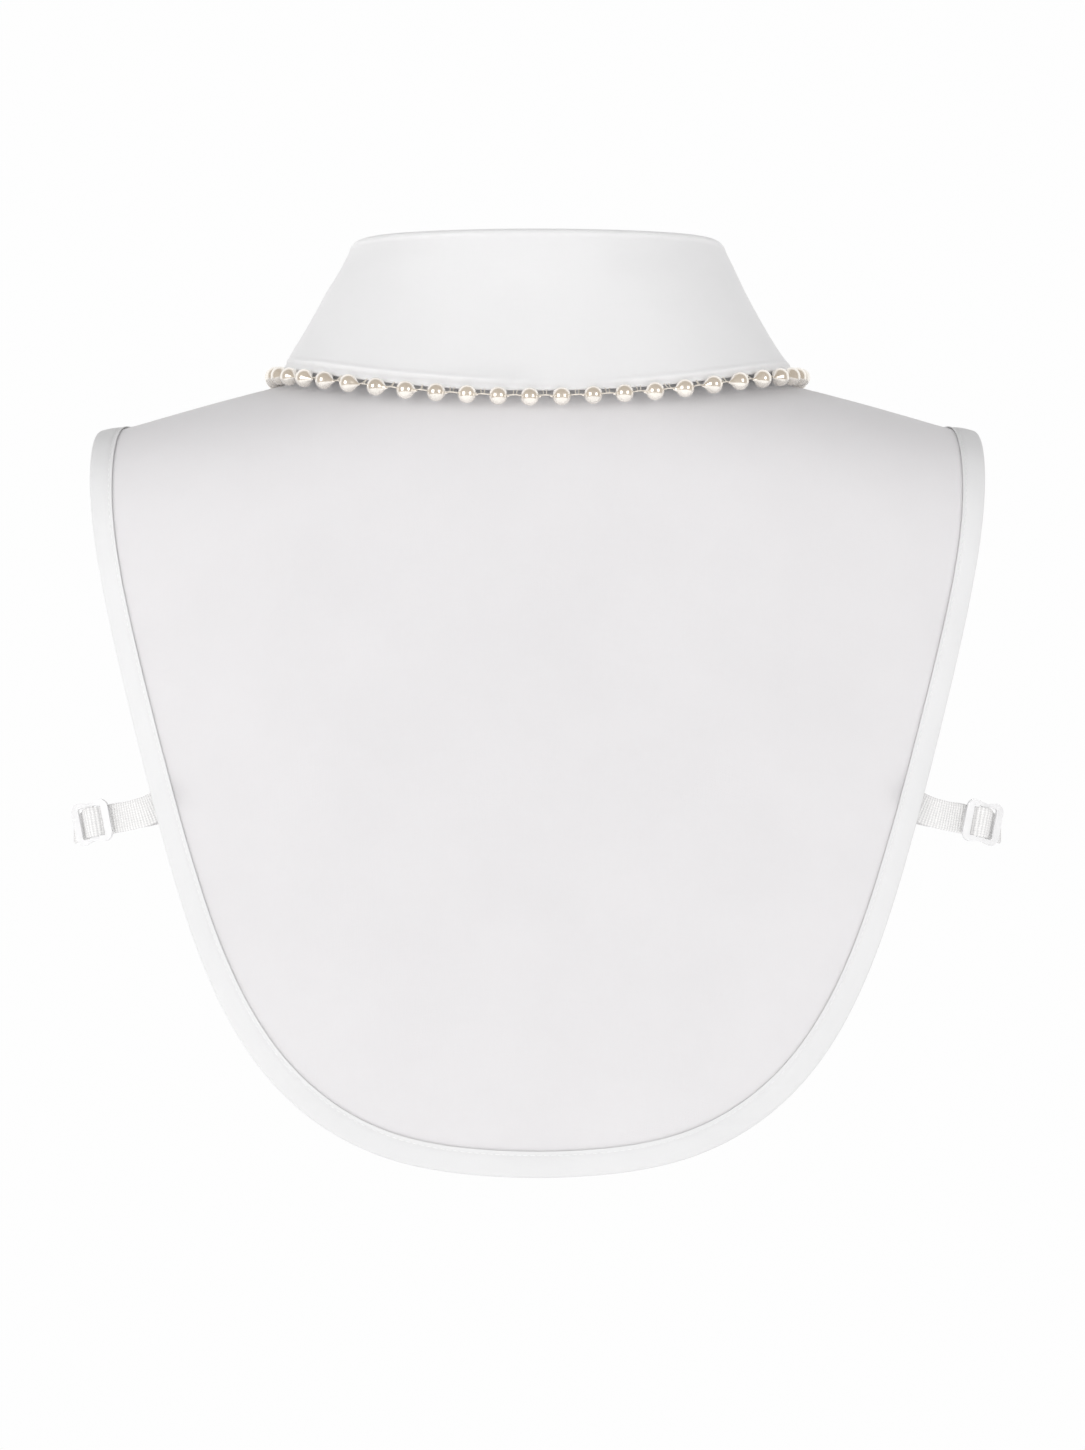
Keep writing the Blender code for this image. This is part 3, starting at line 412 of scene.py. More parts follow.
def folds(table, x, w):
    """Sum over the rows of height times a bell curve across the row's line, faded towards the line's ends."""
    x, w = np.broadcast_arrays(np.asarray(x, float), np.asarray(w, float))
    start, end, width, height = table[:, :2], table[:, 2:4], table[:, 4], table[:, 5]
    length = np.linalg.norm(end - start, axis=1)
    ahead = (end - start) / length[:, None]
    away = np.stack([x[..., None] - start[:, 0], w[..., None] - start[:, 1]], axis=-1)
    along = (away * ahead).sum(-1)
    across = away[..., 0] * ahead[:, 1] - away[..., 1] * ahead[:, 0]
    share = np.clip(along / length, -0.5, 1.5)
    fade = smooth_step(1.4 - np.abs(share - 0.5) * 1.5)
    return (height * np.exp(-((across / width) ** 2)) * fade).sum(-1)


print("rows:", len(BACK_FOLDS), "on the back,", len(FRONT_FOLDS), "on each front")

# %% [markdown]
# ## Pattern pieces of the bib
# A pattern piece is a patch with four edges: the neckline with the shoulder seams at the top, the outer edge at
# the sides and below. A Coons patch fills it: it blends the opposite edges both ways and takes away the blend of
# the four corners. The grid then goes onto the figure, out by its folds, and half a cloth's thickness either way.

# %% Neckline and outline
NECK_HALF_WIDTH, NECK_BACK, NECK_FRONT, SEAM_WAY, LAP, FRONT_LENGTH = 65.0, 62.0, 66.0, -8.0, 10.0, 0.92
LAP_EASE, LAP_LIFT_NECK, LAP_LIFT_HEM = 26.0, 2.8, 4.2
BINDING_WIDTH, BINDING_REACH, CORNER_SHARE = 10.0, 1.3, 0.655
SIDE_CELLS, SHOULDER_CELLS, BACK_CELLS, FRONT_CELLS = 110, 34, 90, 56
# columns: half width and height of the back's outer edge
OUTLINE = np.array([
    (168.6, -48.0), (164.9, -79.2), (153.4, -131.9), (137.7, -191.8),
    (118.9, -244.0), (92.6, -281.1), (54.5, -303.2), (0.0, -309.9),
])


def neck_line(angle):
    """The neckline on the cloth by the angle from the centre back: an ellipse in plan, deeper in front."""
    x = NECK_HALF_WIDTH * np.sin(angle)
    y = np.where(np.cos(angle) >= 0, NECK_BACK, NECK_FRONT) * np.cos(angle)
    return np.stack([x, way_to_depth(x, y)], axis=-1)


def outer_edge():
    """Pins of the outer edge on the cloth, from the left shoulder seam round the hem to the right one."""
    ways = np.linspace(0, 420, 2400)
    downs = [np.interp(-z, -one_side(np.full_like(ways, x), ways, "back")[1], ways) for x, z in OUTLINE]
    half = np.concatenate([[(RIDGE_HALF_WIDTH - 0.6, SEAM_WAY), (RIDGE_HALF_WIDTH, 0.0)],
                           np.stack([OUTLINE[:, 0], downs], axis=-1)])
    return np.concatenate([half, half[-2::-1] * [-1, 1]])


def inset(edge, distance):
    """An edge moved inwards on the cloth by a real distance; its end points stay on the seam or the front edge."""
    tangent = unit(np.gradient(edge, axis=0))
    inward = np.stack([-tangent[:, 1], tangent[:, 0]], axis=-1)
    inward = inward * -np.sign(inward[0, 0])
    real = np.linalg.norm(figure(*(edge + inward).T) - figure(*edge.T), axis=-1)
    moved = edge + inward * (distance / real)[:, None]
    for end in (0, -1):
        still = 1 if abs(edge[end, 1] - SEAM_WAY) < 1 else 0
        moved[end, still] = edge[end, still]
    return moved


seam_angles = np.linspace(math.pi / 2, math.pi, 4001)
SEAM_ANGLE = np.interp(-SEAM_WAY, -neck_line(seam_angles)[:, 1], seam_angles)
LAP_ANGLE = math.pi + math.asin(LAP / NECK_HALF_WIDTH)
print(f"neckline meets the shoulder seam {math.degrees(SEAM_ANGLE):.1f} degrees from the centre back")


# %% Patches of the back and of a front
def coons(top, bottom, left, right):
    """Blend of top and bottom, plus the blend of left and right, less the blend of the corners."""
    u, v = np.linspace(0, 1, len(top))[None, :, None], np.linspace(0, 1, len(left))[:, None, None]
    rows = (1 - v) * top[None] + v * bottom[None]
    columns = (1 - u) * left[:, None] + u * right[:, None]
    corners = (1 - u) * (1 - v) * top[0] + u * (1 - v) * top[-1] + (1 - u) * v * bottom[0] + u * v * bottom[-1]
    return rows + columns - corners


def pattern_piece(name):
    """The grid of a panel on the cloth, and its outer edge, for the back or the wearer's left front."""
    pins = outer_edge()
    total = even_curve(pins, 2)[1]
    corner, middle = total / 2 * CORNER_SHARE, total / 2
    if name == "back":
        parts = [(0, corner, SIDE_CELLS), (corner, total - corner, BACK_CELLS + 2 * SHOULDER_CELLS),
                 (total - corner, total, SIDE_CELLS)]
        angles = np.linspace(SEAM_ANGLE, -SEAM_ANGLE, BACK_CELLS + 1)
    else:
        parts = [(0, corner, SIDE_CELLS), (corner, middle + LAP, FRONT_CELLS + SHOULDER_CELLS)]
        angles = np.linspace(SEAM_ANGLE, LAP_ANGLE, FRONT_CELLS + 1)
    runs = [even_curve(pins, cells + 1, start, end)[0] for start, end, cells in parts]
    edge = np.concatenate([runs[0]] + [run[1:] for run in runs[1:]])
    if name == "front":
        edge[:, 1] = SEAM_WAY - (edge[:, 1] - SEAM_WAY) * FRONT_LENGTH
    edge = inset(edge, BINDING_REACH)
    neck = neck_line(angles)
    top = np.concatenate([np.linspace(edge[0], neck[0], SHOULDER_CELLS + 1)[:-1], neck])
    if name == "back":
        top = np.concatenate([top, np.linspace(neck[-1], edge[-1], SHOULDER_CELLS + 1)[1:]])
        bottom, right = edge[SIDE_CELLS:-SIDE_CELLS], edge[::-1][:SIDE_CELLS + 1]
    else:
        bottom = edge[SIDE_CELLS:]
        right = np.linspace(top[-1], bottom[-1], SIDE_CELLS + 1)
    return coons(top, bottom, edge[:SIDE_CELLS + 1], right), edge


patches = {name: pattern_piece(name) for name in ("back", "front")}
print("grids:", {name: grid.shape[:2] for name, (grid, _) in patches.items()})


# %% Laying the cloth on the figure
MIRROR = np.array([-1.0, 1.0, 1.0])
CLOTH, PLACKET_WIDTH, PLACKET_EXTRA, NEAR_SEAM = 0.5, 20.0, 0.45, 14.0
LAP_RISE_START, LAP_RISE_LENGTH = 80.0, 240.0
# columns: piece, its table of folds, share of their height
FOLDS_OF = {"back": (BACK_FOLDS, 1.0), "front_left": (FRONT_FOLDS, 1.25), "front_right": (FRONT_FOLDS, 0.525)}


def lap_lift(x, w):
    """How far the upper front stands off where it laps over the other: a smooth rise, more towards the hem."""
    share = np.clip((np.abs(w) - LAP_RISE_START) / LAP_RISE_LENGTH, 0, 1)
    return smooth_step((LAP + LAP_EASE - x) / LAP_EASE) * (LAP_LIFT_NECK + (LAP_LIFT_HEM - LAP_LIFT_NECK) * share)


def lay(points, piece):
    """Place and outward direction of cloth points: the figure, out by the folds and the lap of the upper front.

    Folds die out at the shoulder seam. The upper front has a slant ripple of its own, so the two fronts differ."""
    x, w = points[..., 0], points[..., 1]
    table, share = FOLDS_OF[piece]
    relief, lift, normal = folds(table, x, w) * share, 0.0, figure_normal(x, w)
    if piece == "front_right":
        relief = relief + 0.5 * np.sin(x / 17.0 + w / 29.0) * smooth_step((-w - 90) / 80)
        lift = lap_lift(x, w)
    relief = relief * (1 - np.exp(-((w - SEAM_WAY) / NEAR_SEAM) ** 2)) + lift
    return figure(x, w) + normal * relief[..., None], normal


def panel(name, piece):
    """One panel: thicker along the front edge, where the cloth is turned in twice, and turned down at the seam."""
    grid = patches["back" if piece == "back" else "front"][0].copy()
    place, normal = lay(grid, piece)
    x, w = grid[..., 0], grid[..., 1]
    half = np.full(x.shape, CLOTH / 2)
    if piece != "back":
        half = half + PLACKET_EXTRA / 2 * (1 - smooth_step((x - PLACKET_WIDTH + LAP) / 0.8 + 0.5))
    to_seam = np.abs(w - SEAM_WAY)
    turned = 0.55 * np.exp(-to_seam / 0.9) - 0.35 * np.exp(-(((to_seam - 4.0) / 2.5) ** 2))
    place = place - normal * turned[..., None]
    outer, inner = place + normal * half[..., None], place - normal * half[..., None]
    if piece == "front_right":
        outer, inner, x = outer * MIRROR, inner * MIRROR, -x
    wall(name, outer, inner, cloth_grid(x, w))


for piece in FOLDS_OF:
    panel(f"cloth_{piece}", piece)
    tell(f"cloth_{piece}")

# %% [markdown]
# ## Stitches
# A seam shows as a row of short thread ends, 2.6 mm apart, each lying in a small dent. Hundreds of them are
# needed, so one stitch has only a few faces: a thin tube of five rings, pinched at both ends.

# %% One function for every row of stitches
STITCH_PITCH, STITCH_LENGTH, THREAD_HALF = 2.6, 2.1, 0.14


def stitch_row(name, line, outward):
    """At every pitch along a line a tube of radius sqrt(1 - s^2) of the thread's half, s from -1 to 1."""
    so_far = lengths(line)
    centre = np.arange(STITCH_PITCH, so_far[-1] - STITCH_PITCH / 2, STITCH_PITCH)
    share = np.array([-1.0, -0.75, 0.0, 0.75, 1.0])
    ways = centre[:, None] + share * STITCH_LENGTH / 2
    place, up = (along_line(ways, so_far, a) for a in (line, outward))
    ahead = unit(place[:, -1:] - place[:, :1])
    up = unit(up - (up * ahead).sum(-1, keepdims=True) * ahead)
    lifted = place + up * (THREAD_HALF * (0.3 - 0.9 * share**2))[None, :, None]
    tubes(name, rings(lifted, np.cross(ahead, up), up, THREAD_HALF * np.sqrt(1.03 - share**2)[None], 6))
    print(name, len(centre), "stitches")


# %% [markdown]
# ## Binding
# The raw edge is wrapped in a strip folded over it. Its section is a narrow U: round and a little puffed at the
# fold, pressed down along the stitches, and lifting again at its inner edge. The section is carried along the
# panel's edge, always square to it.

# %% Section of the binding and its path
BINDING_HALF, BINDING_PUFF, SEAM_IN, BINDING_CLOTH = 0.95, 0.30, 8.5, 0.42


def binding_height(way):
    """Half thickness at a way in from the fold: a quarter circle, then a low dome, with a dent at the stitches."""
    round_end = np.sqrt(1 - (1 - np.clip(way / BINDING_HALF, 0, 1)) ** 2)
    dome = BINDING_PUFF * np.sin(np.pi * np.clip(way / SEAM_IN, 0, 1))
    dent = 0.28 * np.exp(-(((way - SEAM_IN) / 0.55) ** 2))
    return BINDING_HALF * round_end + dome * round_end - dent


def edge_frame(piece):
    """Place, inward and outward directions at even steps along the edge of the back or of a left front."""
    edge = patches["back" if piece == "back" else "front"][1]
    inner = inset(edge, BINDING_WIDTH - BINDING_REACH)
    (place, normal), (ring, ring_normal) = lay(edge, piece), lay(inner, piece)
    return place, unit(ring - place), normal, ring_normal


def on_binding(piece, way, height):
    """Points at a way in from the fold and a height off the cloth, for arrays of both."""
    place, inward, normal, ring_normal = (a[:, None] for a in edge_frame(piece))
    share = np.clip((way - BINDING_REACH) / (BINDING_WIDTH - BINDING_REACH), 0, 1)[None, :, None]
    up = unit((1 - share) * normal + share * ring_normal)
    points = place + inward * (way - BINDING_REACH)[None, :, None] + up * np.asarray(height)[..., None]
    return (points * MIRROR, up * MIRROR) if piece == "front_right" else (points, up)


def binding(name, piece):
    """The folded strip: its outer face goes over the fold, its inner face follows it a cloth's thickness inside."""
    near = 0.5 * BINDING_HALF * (1 - np.cos(np.linspace(0, np.pi / 2, 5)))
    ways = np.concatenate([near, np.linspace(near[-1], BINDING_WIDTH, 20)[1:]])
    across = np.concatenate([ways[::-1], ways[1:]])
    side = np.concatenate([np.ones(len(ways)), -np.ones(len(ways) - 1)])
    stations = len(edge_frame(piece)[0])
    wave = 0.10 * np.sin(np.arange(stations) * 0.83) + 0.07 * np.sin(np.arange(stations) * 0.31 + 1.0)
    puffed = binding_height(across)[None] + wave[:, None] * np.exp(-(((across - 5.0) / 2.6) ** 2))[None]
    outer, _ = on_binding(piece, across, puffed * side)
    inner_way = np.maximum(across, BINDING_CLOTH + 0.15)
    inner, _ = on_binding(piece, inner_way, side * np.maximum(binding_height(inner_way) - BINDING_CLOTH, 0.27)[None]
                          * np.clip(across / 0.4, 0, 1))
    wall(name, outer, inner, cloth_grid(np.arange(stations)[:, None] * 2.4, (across * side)[None]), 70.0)
    for face, sign in (("outside", 1.0), ("inside", -1.0)):
        height = np.full((stations, 1), sign * (binding_height(np.array(SEAM_IN)) + 0.05))
        line, up = on_binding(piece, np.array([SEAM_IN]), height)
        stitch_row(f"{name}_stitches_{face}", line[:, 0], up[:, 0] * sign)


for piece in FOLDS_OF:
    binding(f"edge_{piece}", piece)
    tell(f"edge_{piece}")

# %% [markdown]
# ## Stand
# The stand is the upright band between the neckline and the fold. It leans with the neck: its foot follows the
# neckline, its top is another ellipse that dips towards the front. Its edges are cloth turned in round a
# stiffener, so the wall thins to nothing over its last millimetre instead of ending in a square cut.

# %% Edges that round off
STAND_TOP_HALF_WIDTH, STAND_TOP_BACK, STAND_TOP_FRONT = 67.4, 61.5, 67.0
STAND_TOP_HEIGHT, STAND_FRONT_FALL, STAND_FALL_POWER, STAND_LIFT_SHARE = 40.8, 66.0, 4.5, 0.72
COLLAR_HALF, SEAM_GAP, STAND_LENGTH, STAND_ROLL = 0.75, 0.3, 430.0, 0.5


def round_off(distance, reach=1.1):
    """Share of the full thickness at a distance from an edge: a quarter circle that starts at 3%."""
    return np.maximum(np.sqrt(1 - (1 - np.clip(distance / reach, 0, 1)) ** 2), 0.03)


def close_ends(count, near=0.012):
    """Shares from 0 to 1 whose first and last few lie close together, 1 - cos apart, for a rounded edge."""
    tight = near * (1 - np.cos(np.linspace(0, np.pi / 2, 5)))
    return np.concatenate([tight, np.linspace(near, 1 - near, count)[1:-1], 1 - tight[::-1]])


def stand_top(angle):
    """Middle of the stand's top edge and its outward direction: an ellipse that falls by ((1 - cos a) / 2)^4.5."""
    deep = np.where(np.cos(angle) >= 0, STAND_TOP_BACK, STAND_TOP_FRONT)
    x, y = STAND_TOP_HALF_WIDTH * np.sin(angle), deep * np.cos(angle)
    outward = unit(np.stack([x / STAND_TOP_HALF_WIDTH**2, y / deep**2, np.zeros_like(x)], axis=-1))
    z = STAND_TOP_HEIGHT - STAND_FRONT_FALL * ((1 - np.cos(angle)) / 2) ** STAND_FALL_POWER
    return np.stack([x, y, z], axis=-1) + outward * (stand_lift(angle) * STAND_LIFT_SHARE)[:, None], outward


def stand_lift(angle):
    """Lift of the stand's right end where it laps over the left."""
    return np.where(angle < -math.pi / 2, lap_lift(-NECK_HALF_WIDTH * np.sin(angle), 0.0), 0.0)


def stand_foot(angle):
    """Middle of the stand's lower edge, on the neckline of the bib."""
    points = neck_line(angle)
    normal = figure_normal(*points.T)
    return figure(*points.T) + normal * (stand_lift(angle) + CLOTH / 2)[:, None]


def stand_point(share, angle):
    """Between foot and top, with a slight roll outwards in the middle, and the outward direction there."""
    (top, outward), foot = stand_top(angle), stand_foot(angle)
    share = share[:, None, None]
    place = (1 - share) * foot + share * top + STAND_ROLL * np.sin(np.pi * share) * outward
    return place, np.broadcast_to(outward, place.shape)


def stand():
    """The band from the wearer's left end over the back to the right end."""
    angle = LAP_ANGLE * (1 - 2 * close_ends(200, 0.004))
    share = close_ends(26, 0.03)
    place, outward = stand_point(share, angle)
    height = np.linalg.norm(place[-1] - place[0], axis=-1)
    length = STAND_LENGTH * (1 - angle / LAP_ANGLE) / 2
    rounded = round_off(height[None] * (1 - share)[:, None]) * round_off(height[None] * share[:, None] + 0.5)
    half = COLLAR_HALF * rounded * round_off(np.minimum(length, STAND_LENGTH - length))[None]
    out = outward * half[..., None]
    wall("stand", place + out, place - out, cloth_grid(length[None], share[:, None] * height[None]))
    for number, part in enumerate((0.09, 0.93), 1):
        line, up = stand_point(np.array([part]), angle[5:-5])
        stitch_row(f"stand_stitches_{number}", line[0] + up[0] * COLLAR_HALF, up[0])


stand()
tell("stand")

# %% [markdown]
# ## Fall
# The fall is the part that turns down. From its seam it goes up, over a half circle, and down in a curve to its
# edge. Seen from above that edge is a superellipse, fuller than an ellipse, with the two points pulled out in
# front. Two layers of cloth and a stiffener meet at the edge, and the inner layer pushes it out a little, so a
# narrow lip catches the light there, with a soft shadow above it.

# %% Edge of the fall
FOLD_RADIUS, FOLD_RISE, FALL_END_GAP, FALL_HALF_WIDTH = 2.2, 1.0, 3.4, 97.4
FALL_BACK, FALL_BACK_POWER, FALL_FRONT, FALL_FRONT_POWER = 87.0, 3.0, 88.5, 2.6
POINT_DIRECTION, FALL_BACK_HEIGHT, FALL_SIDE_RISE, FALL_RISE_POWER = math.radians(151.0), -16.8, 10.9, 2.0
FALL_STAND_OFF, FRONT_BLEND, KNEE_SHARE, KNEE_DROP = 5.7, 2.5, 0.65, 0.09
FALL_END = math.pi - math.asin(FALL_END_GAP / STAND_TOP_HALF_WIDTH)


def superellipse(direction, half_width, deep, power):
    """x and y at a direction: the radius is ((sin / a)^p + (cos / b)^p)^(-1/p)."""
    s, c = np.abs(np.sin(direction)), np.abs(np.cos(direction))
    radius = ((s / half_width) ** power + (c / deep) ** power) ** (-1 / power)
    return radius * np.sin(direction), radius * np.cos(direction)


def fall_edge(angle):
    """Lower edge of the fall: its plan, and a height that is level behind and rests on the shoulders in front."""
    turn, half = np.abs(angle), math.pi / 2
    share = np.clip((turn - half) / (FALL_END - half), 0, None)
    front = superellipse(half + share * (POINT_DIRECTION - half), FALL_HALF_WIDTH, FALL_FRONT, FALL_FRONT_POWER)
    back = superellipse(np.minimum(turn, half), FALL_HALF_WIDTH, FALL_BACK, FALL_BACK_POWER)
    x, y = np.where(turn > half, front[0], back[0]), np.where(turn > half, front[1], back[1])
    level = FALL_BACK_HEIGHT + FALL_SIDE_RISE * (x / FALL_HALF_WIDTH) ** FALL_RISE_POWER
    w = way_to_depth(x, y)
    resting = figure(x, w)[..., 2] + FALL_STAND_OFF / figure_normal(x, w)[..., 2]
    blend = smooth_step(share * FRONT_BLEND)
    return np.stack([x * np.sign(angle), y, (1 - blend) * level + blend * resting], axis=-1)


# %% Surface of the fall
FALL_DOWN, LIP_HEIGHT, LIP_LESS, LIP_OUT, LIP_IN = 70, 3.3, 1.5, 0.52, 0.42


def fall_grid(columns):
    """Rows from the seam over the fold to the edge. Below the fold each column is a quadratic Bezier curve."""
    angle = FALL_END * (1 - 2 * close_ends(columns, 0.004))
    (top, outward), edge, up = stand_top(angle), fall_edge(angle), np.array([0.0, 0.0, 1.0])
    turn = np.linspace(0, np.pi, 17)[:, None, None]
    seam = (top + up * SEAM_GAP)[None]
    fold = top + outward * FOLD_RADIUS * (1 - np.cos(turn)) + up * (
        SEAM_GAP + FOLD_RISE + FOLD_RADIUS * np.sin(turn))
    start = fold[-1]
    length = np.linalg.norm(edge - start, axis=-1)[None, :, None]
    t = np.concatenate([np.linspace(0, 1, FALL_DOWN)[1:-1], 1 - 0.012 * (1 - np.sin(np.linspace(0, np.pi / 2, 6)))])
    t = np.sort(t)[:, None, None]
    knee = start + KNEE_SHARE * (edge - start) - up * KNEE_DROP * length
    down = (1 - t) ** 2 * start + 2 * t * (1 - t) * knee + t**2 * edge
    return np.concatenate([seam, fold, down]), angle


def grid_outward(grid):
    """Outward directions of a grid: its columns' direction crossed with its rows'."""
    return unit(np.cross(np.gradient(grid, axis=1), np.gradient(grid, axis=0)))


def fall_relief(grid, angle):
    """Lip and shadow line along the edge, and a few broad dips where the cloth turns.

    The lip is lower on the wearer's right, faint at the centre back and at the far sides."""
    so_far = lengths(grid)
    left, x = so_far[-1] - so_far, grid[-1, :, 0]
    clear = 0.2 + 0.8 * smooth_step((np.abs(x + 6) - 8) / 30)
    clear = clear * (1 - 0.6 * smooth_step((np.abs(x) - 84) / 12))
    over = left - LIP_HEIGHT + LIP_LESS * smooth_step((10 - x) / 30)
    lip = clear * (LIP_OUT * (1 - smooth_step(over + 0.5)) - LIP_IN * np.exp(-(((over - 0.9) / 1.1) ** 2)))
    body = smooth_step((so_far - 14) / 14) * smooth_step(left / 10)
    dips = 0.45 * np.sin(angle * 3.1 + 0.6) + 0.30 * np.sin(angle * 7.3 + left / 26.0) + 0.2 * np.sin(angle * 12.1)
    return lip + dips * body, so_far, left


def fall():
    """The turned-down collar: the grid, out by its relief, with edges that round off."""
    grid, angle = fall_grid(240)
    outward = grid_outward(grid)
    relief, so_far, left = fall_relief(grid, angle)
    grid = grid + outward * relief[..., None]
    along = lengths(grid[-1])
    ends = np.minimum(along, along[-1] - along)[None]
    out = outward * (COLLAR_HALF * round_off(left) * round_off(ends))[..., None]
    wall("fall", grid + out, grid - out, cloth_grid(along[None], so_far))


fall()
tell("fall")

# %% [markdown]
# ## Pearls
# The beads are threaded close to the fall's edge, one about every 12 mm. Each is a ball of 7 mm with its hole drawn
# out to a short point on the side towards the centre back. The point leaves the ball along a tangent: with the
# tip at A and the radius R, a tangent from A touches the ball at R * R / A from its middle.

# %% Route of the thread
PEARL_RADIUS, PEARL_PITCH, PEARL_START = 3.5, 11.7, 2.8
PEARL_OUT, PEARL_AHEAD, PEARL_BELOW, POINT_OUT = 3.9, 3.6, 2.4, 1.25
PEARL_TIP, THREAD_RADIUS, THREAD_CATCH = 5.15, 0.25, 0.22


def pearl_route():
    """Pins beside the fall's edge: down the left front edge, along the bottom, ahead and below it, and up."""
    grid, _ = fall_grid(90)
    grid = grid[18:]
    along = np.gradient(grid[-1], axis=0)
    ahead = unit(np.stack([-along[:, 1], along[:, 0], np.zeros(len(along))], axis=-1))
    ahead = ahead * np.sign((ahead * grid[-1]).sum(axis=1, keepdims=True))
    below = ahead * PEARL_AHEAD - np.array([0.0, 0.0, PEARL_BELOW])
    lower = grid[-1] + below
    sides = []
    for column, inner in ((0, 6), (-1, -7)):
        out = unit(grid[:, column] - grid[:, inner])
        down = unit(grid[-1, column] - grid[0, column])
        out = unit(out - (out @ down)[:, None] * down)
        tip = grid[-1, column] + unit(out[-1] + unit(below[column])) * PEARL_OUT * POINT_OUT
        sides.append((grid[::6, column] + out[::6] * PEARL_OUT, tip))
    (left, left_tip), (right, right_tip) = sides
    return np.concatenate([left[:-1], [left_tip], lower[9:-9:6], [right_tip], right[-2::-1]])


route, route_length = even_curve(pearl_route(), 6000)
route_way = np.linspace(0, route_length, len(route))
BACK_WAY = route_way[np.argmin(np.abs(route[:, 0]) + 1000 * (route[:, 1] < 0))]
first_pearl = (BACK_WAY - PEARL_START) % PEARL_PITCH
first_pearl += PEARL_PITCH if first_pearl < PEARL_RADIUS else 0.0
pearl_ways = np.arange(first_pearl, route_length - PEARL_RADIUS, PEARL_PITCH)


def on_route(ways):
    """Place and forward direction of the thread at each way along it."""
    place, ahead, behind = (along_line(ways + step, route_way, route) for step in (0, 1.5, -1.5))
    return place, unit(ahead - behind)


print(len(pearl_ways), "pearls on", round(route_length), "mm of thread")


# %% Pearls and thread
def across(axis):
    """Two directions square to each axis and to each other."""
    side = unit(np.cross(axis, [0.0, 0.0, 1.0]) + 1e-6)
    return side, np.cross(axis, side)


def pearls():
    """Rings round the thread: radius sqrt(R^2 - s^2) on the ball, then a Bezier curve along the ball's tangent."""
    place, axis = on_route(pearl_ways)
    place = place + np.stack([0.12 * np.sin(pearl_ways * k) for k in (1.7, 2.3, 3.1)], axis=-1)
    axis = axis * np.where(pearl_ways < BACK_WAY, 1.0, -1.0)[:, None]
    point = smooth_step((np.abs(pearl_ways - BACK_WAY) - 25.0) / 70.0)
    tip = (PEARL_RADIUS + 0.2 + (PEARL_TIP - PEARL_RADIUS - 0.2) * point)[:, None]
    meet = PEARL_RADIUS**2 / tip
    turn = np.arccos(meet / PEARL_RADIUS) + (np.pi - 0.12 - np.arccos(meet / PEARL_RADIUS)) * np.linspace(1, 0, 15)
    t = np.linspace(0, 1, 7)[1:]
    start = PEARL_RADIUS * np.stack([np.cos(turn[:, -1:]), np.sin(turn[:, -1:])])
    corner, end = np.stack([tip - 0.35, np.full_like(tip, 0.35)]), np.stack([tip + 0.5, np.full_like(tip, 0.3)])
    flare = (1 - t) ** 2 * start + 2 * t * (1 - t) * corner + t**2 * end
    s = np.concatenate([PEARL_RADIUS * np.cos(turn), flare[0]], axis=1)
    radius = np.concatenate([PEARL_RADIUS * np.sin(turn), flare[1]], axis=1)
    side, other = (a[:, None] for a in across(axis))
    tubes("pearls", rings(place[:, None] + axis[:, None] * s[..., None], side, other, radius, 24), sharp=None)


def fall_border():
    """Points all along the fall's free edge: the left front edge, the lower edge and the right front edge."""
    grid, _ = fall_grid(400)
    return np.concatenate([grid[18:, 0], grid[-1], grid[18:, -1]])


def towards_border(places, border):
    """The step from each place to the nearest point of the fall's edge."""
    nearest = np.argmin(np.linalg.norm(places[:, None] - border[None], axis=-1), axis=1)
    return border[nearest] - places


def caught(ways, border):
    """The thread's line: through each pearl's middle, and drawn towards the fall's edge by half a wave between."""
    place, _ = on_route(ways)
    lift = THREAD_CATCH * (1 - np.cos(2 * np.pi * (ways - pearl_ways[0]) / PEARL_PITCH)) / 2
    return place + towards_border(place, border) * lift[:, None]


def pearl_thread():
    """A thin tube through all the pearls, wound by two strands: radius 1 + 0.16 cos of twice the turn and way."""
    ways = np.linspace(1.0, route_length - 1.0, 2600)
    place = caught(ways, fall_border())
    side, other = across(unit(np.gradient(place, axis=0)))
    turn = full_turn(8)
    thick = THREAD_RADIUS * (1 + 0.16 * np.cos(2 * turn[None] + ways[:, None] * 2.4))
    spoke = rings(np.zeros_like(place), side, other, 1.0, len(turn))
    tubes("pearl_thread", (place[:, None] + spoke * thick[..., None])[None], sharp=None)


def thread_ties():
    """Between pearls the thread is caught to the fall's edge: two short strands from the thread into the edge."""
    border = fall_border()
    middle = np.repeat((pearl_ways[:-1] + pearl_ways[1:]) / 2, 2) + np.tile([-0.5, 0.5], len(pearl_ways) - 1)
    start = caught(middle, border)
    reach = towards_border(start, border)
    side, other = (a[:, None] for a in across(unit(reach)))
    line = start[:, None] + reach[:, None] * np.array([-0.05, 0.5, 1.0])[:, None]
    tubes("thread_ties", rings(line, side, other, 0.2, 6))


pearls(), pearl_thread(), thread_ties()
tell("pearls")

# %% [markdown]
# ## Elastic straps
# A strap is ribbed woven elastic, 11 mm wide. It goes from under the back's binding to under the front's, round
# the wearer's side, and weaves under, over and under the three bars of its slider.

# %% Route and section of the elastic
STRAP_WIDTH, STRAP_UNDER, STRAP_DEPTH, STRAP_HEIGHT, STRAP_WAVE, RIB_PITCH = 11.0, 8.0, 2.6, -171.0, 2.0, 1.05
SLIDER_LENGTH, SLIDER_WIDTH, SLIDER_WAIST, SLIDER_WALL = 15.4, 16.0, 0.9, 1.2
SLIDER_BAR, SLIDER_SLOT_END, SLIDER_SLOT_HALF, SLIDER_CORNER, SLOT_CORNER = 1.3, 4.8, 5.9, 2.6, 0.9
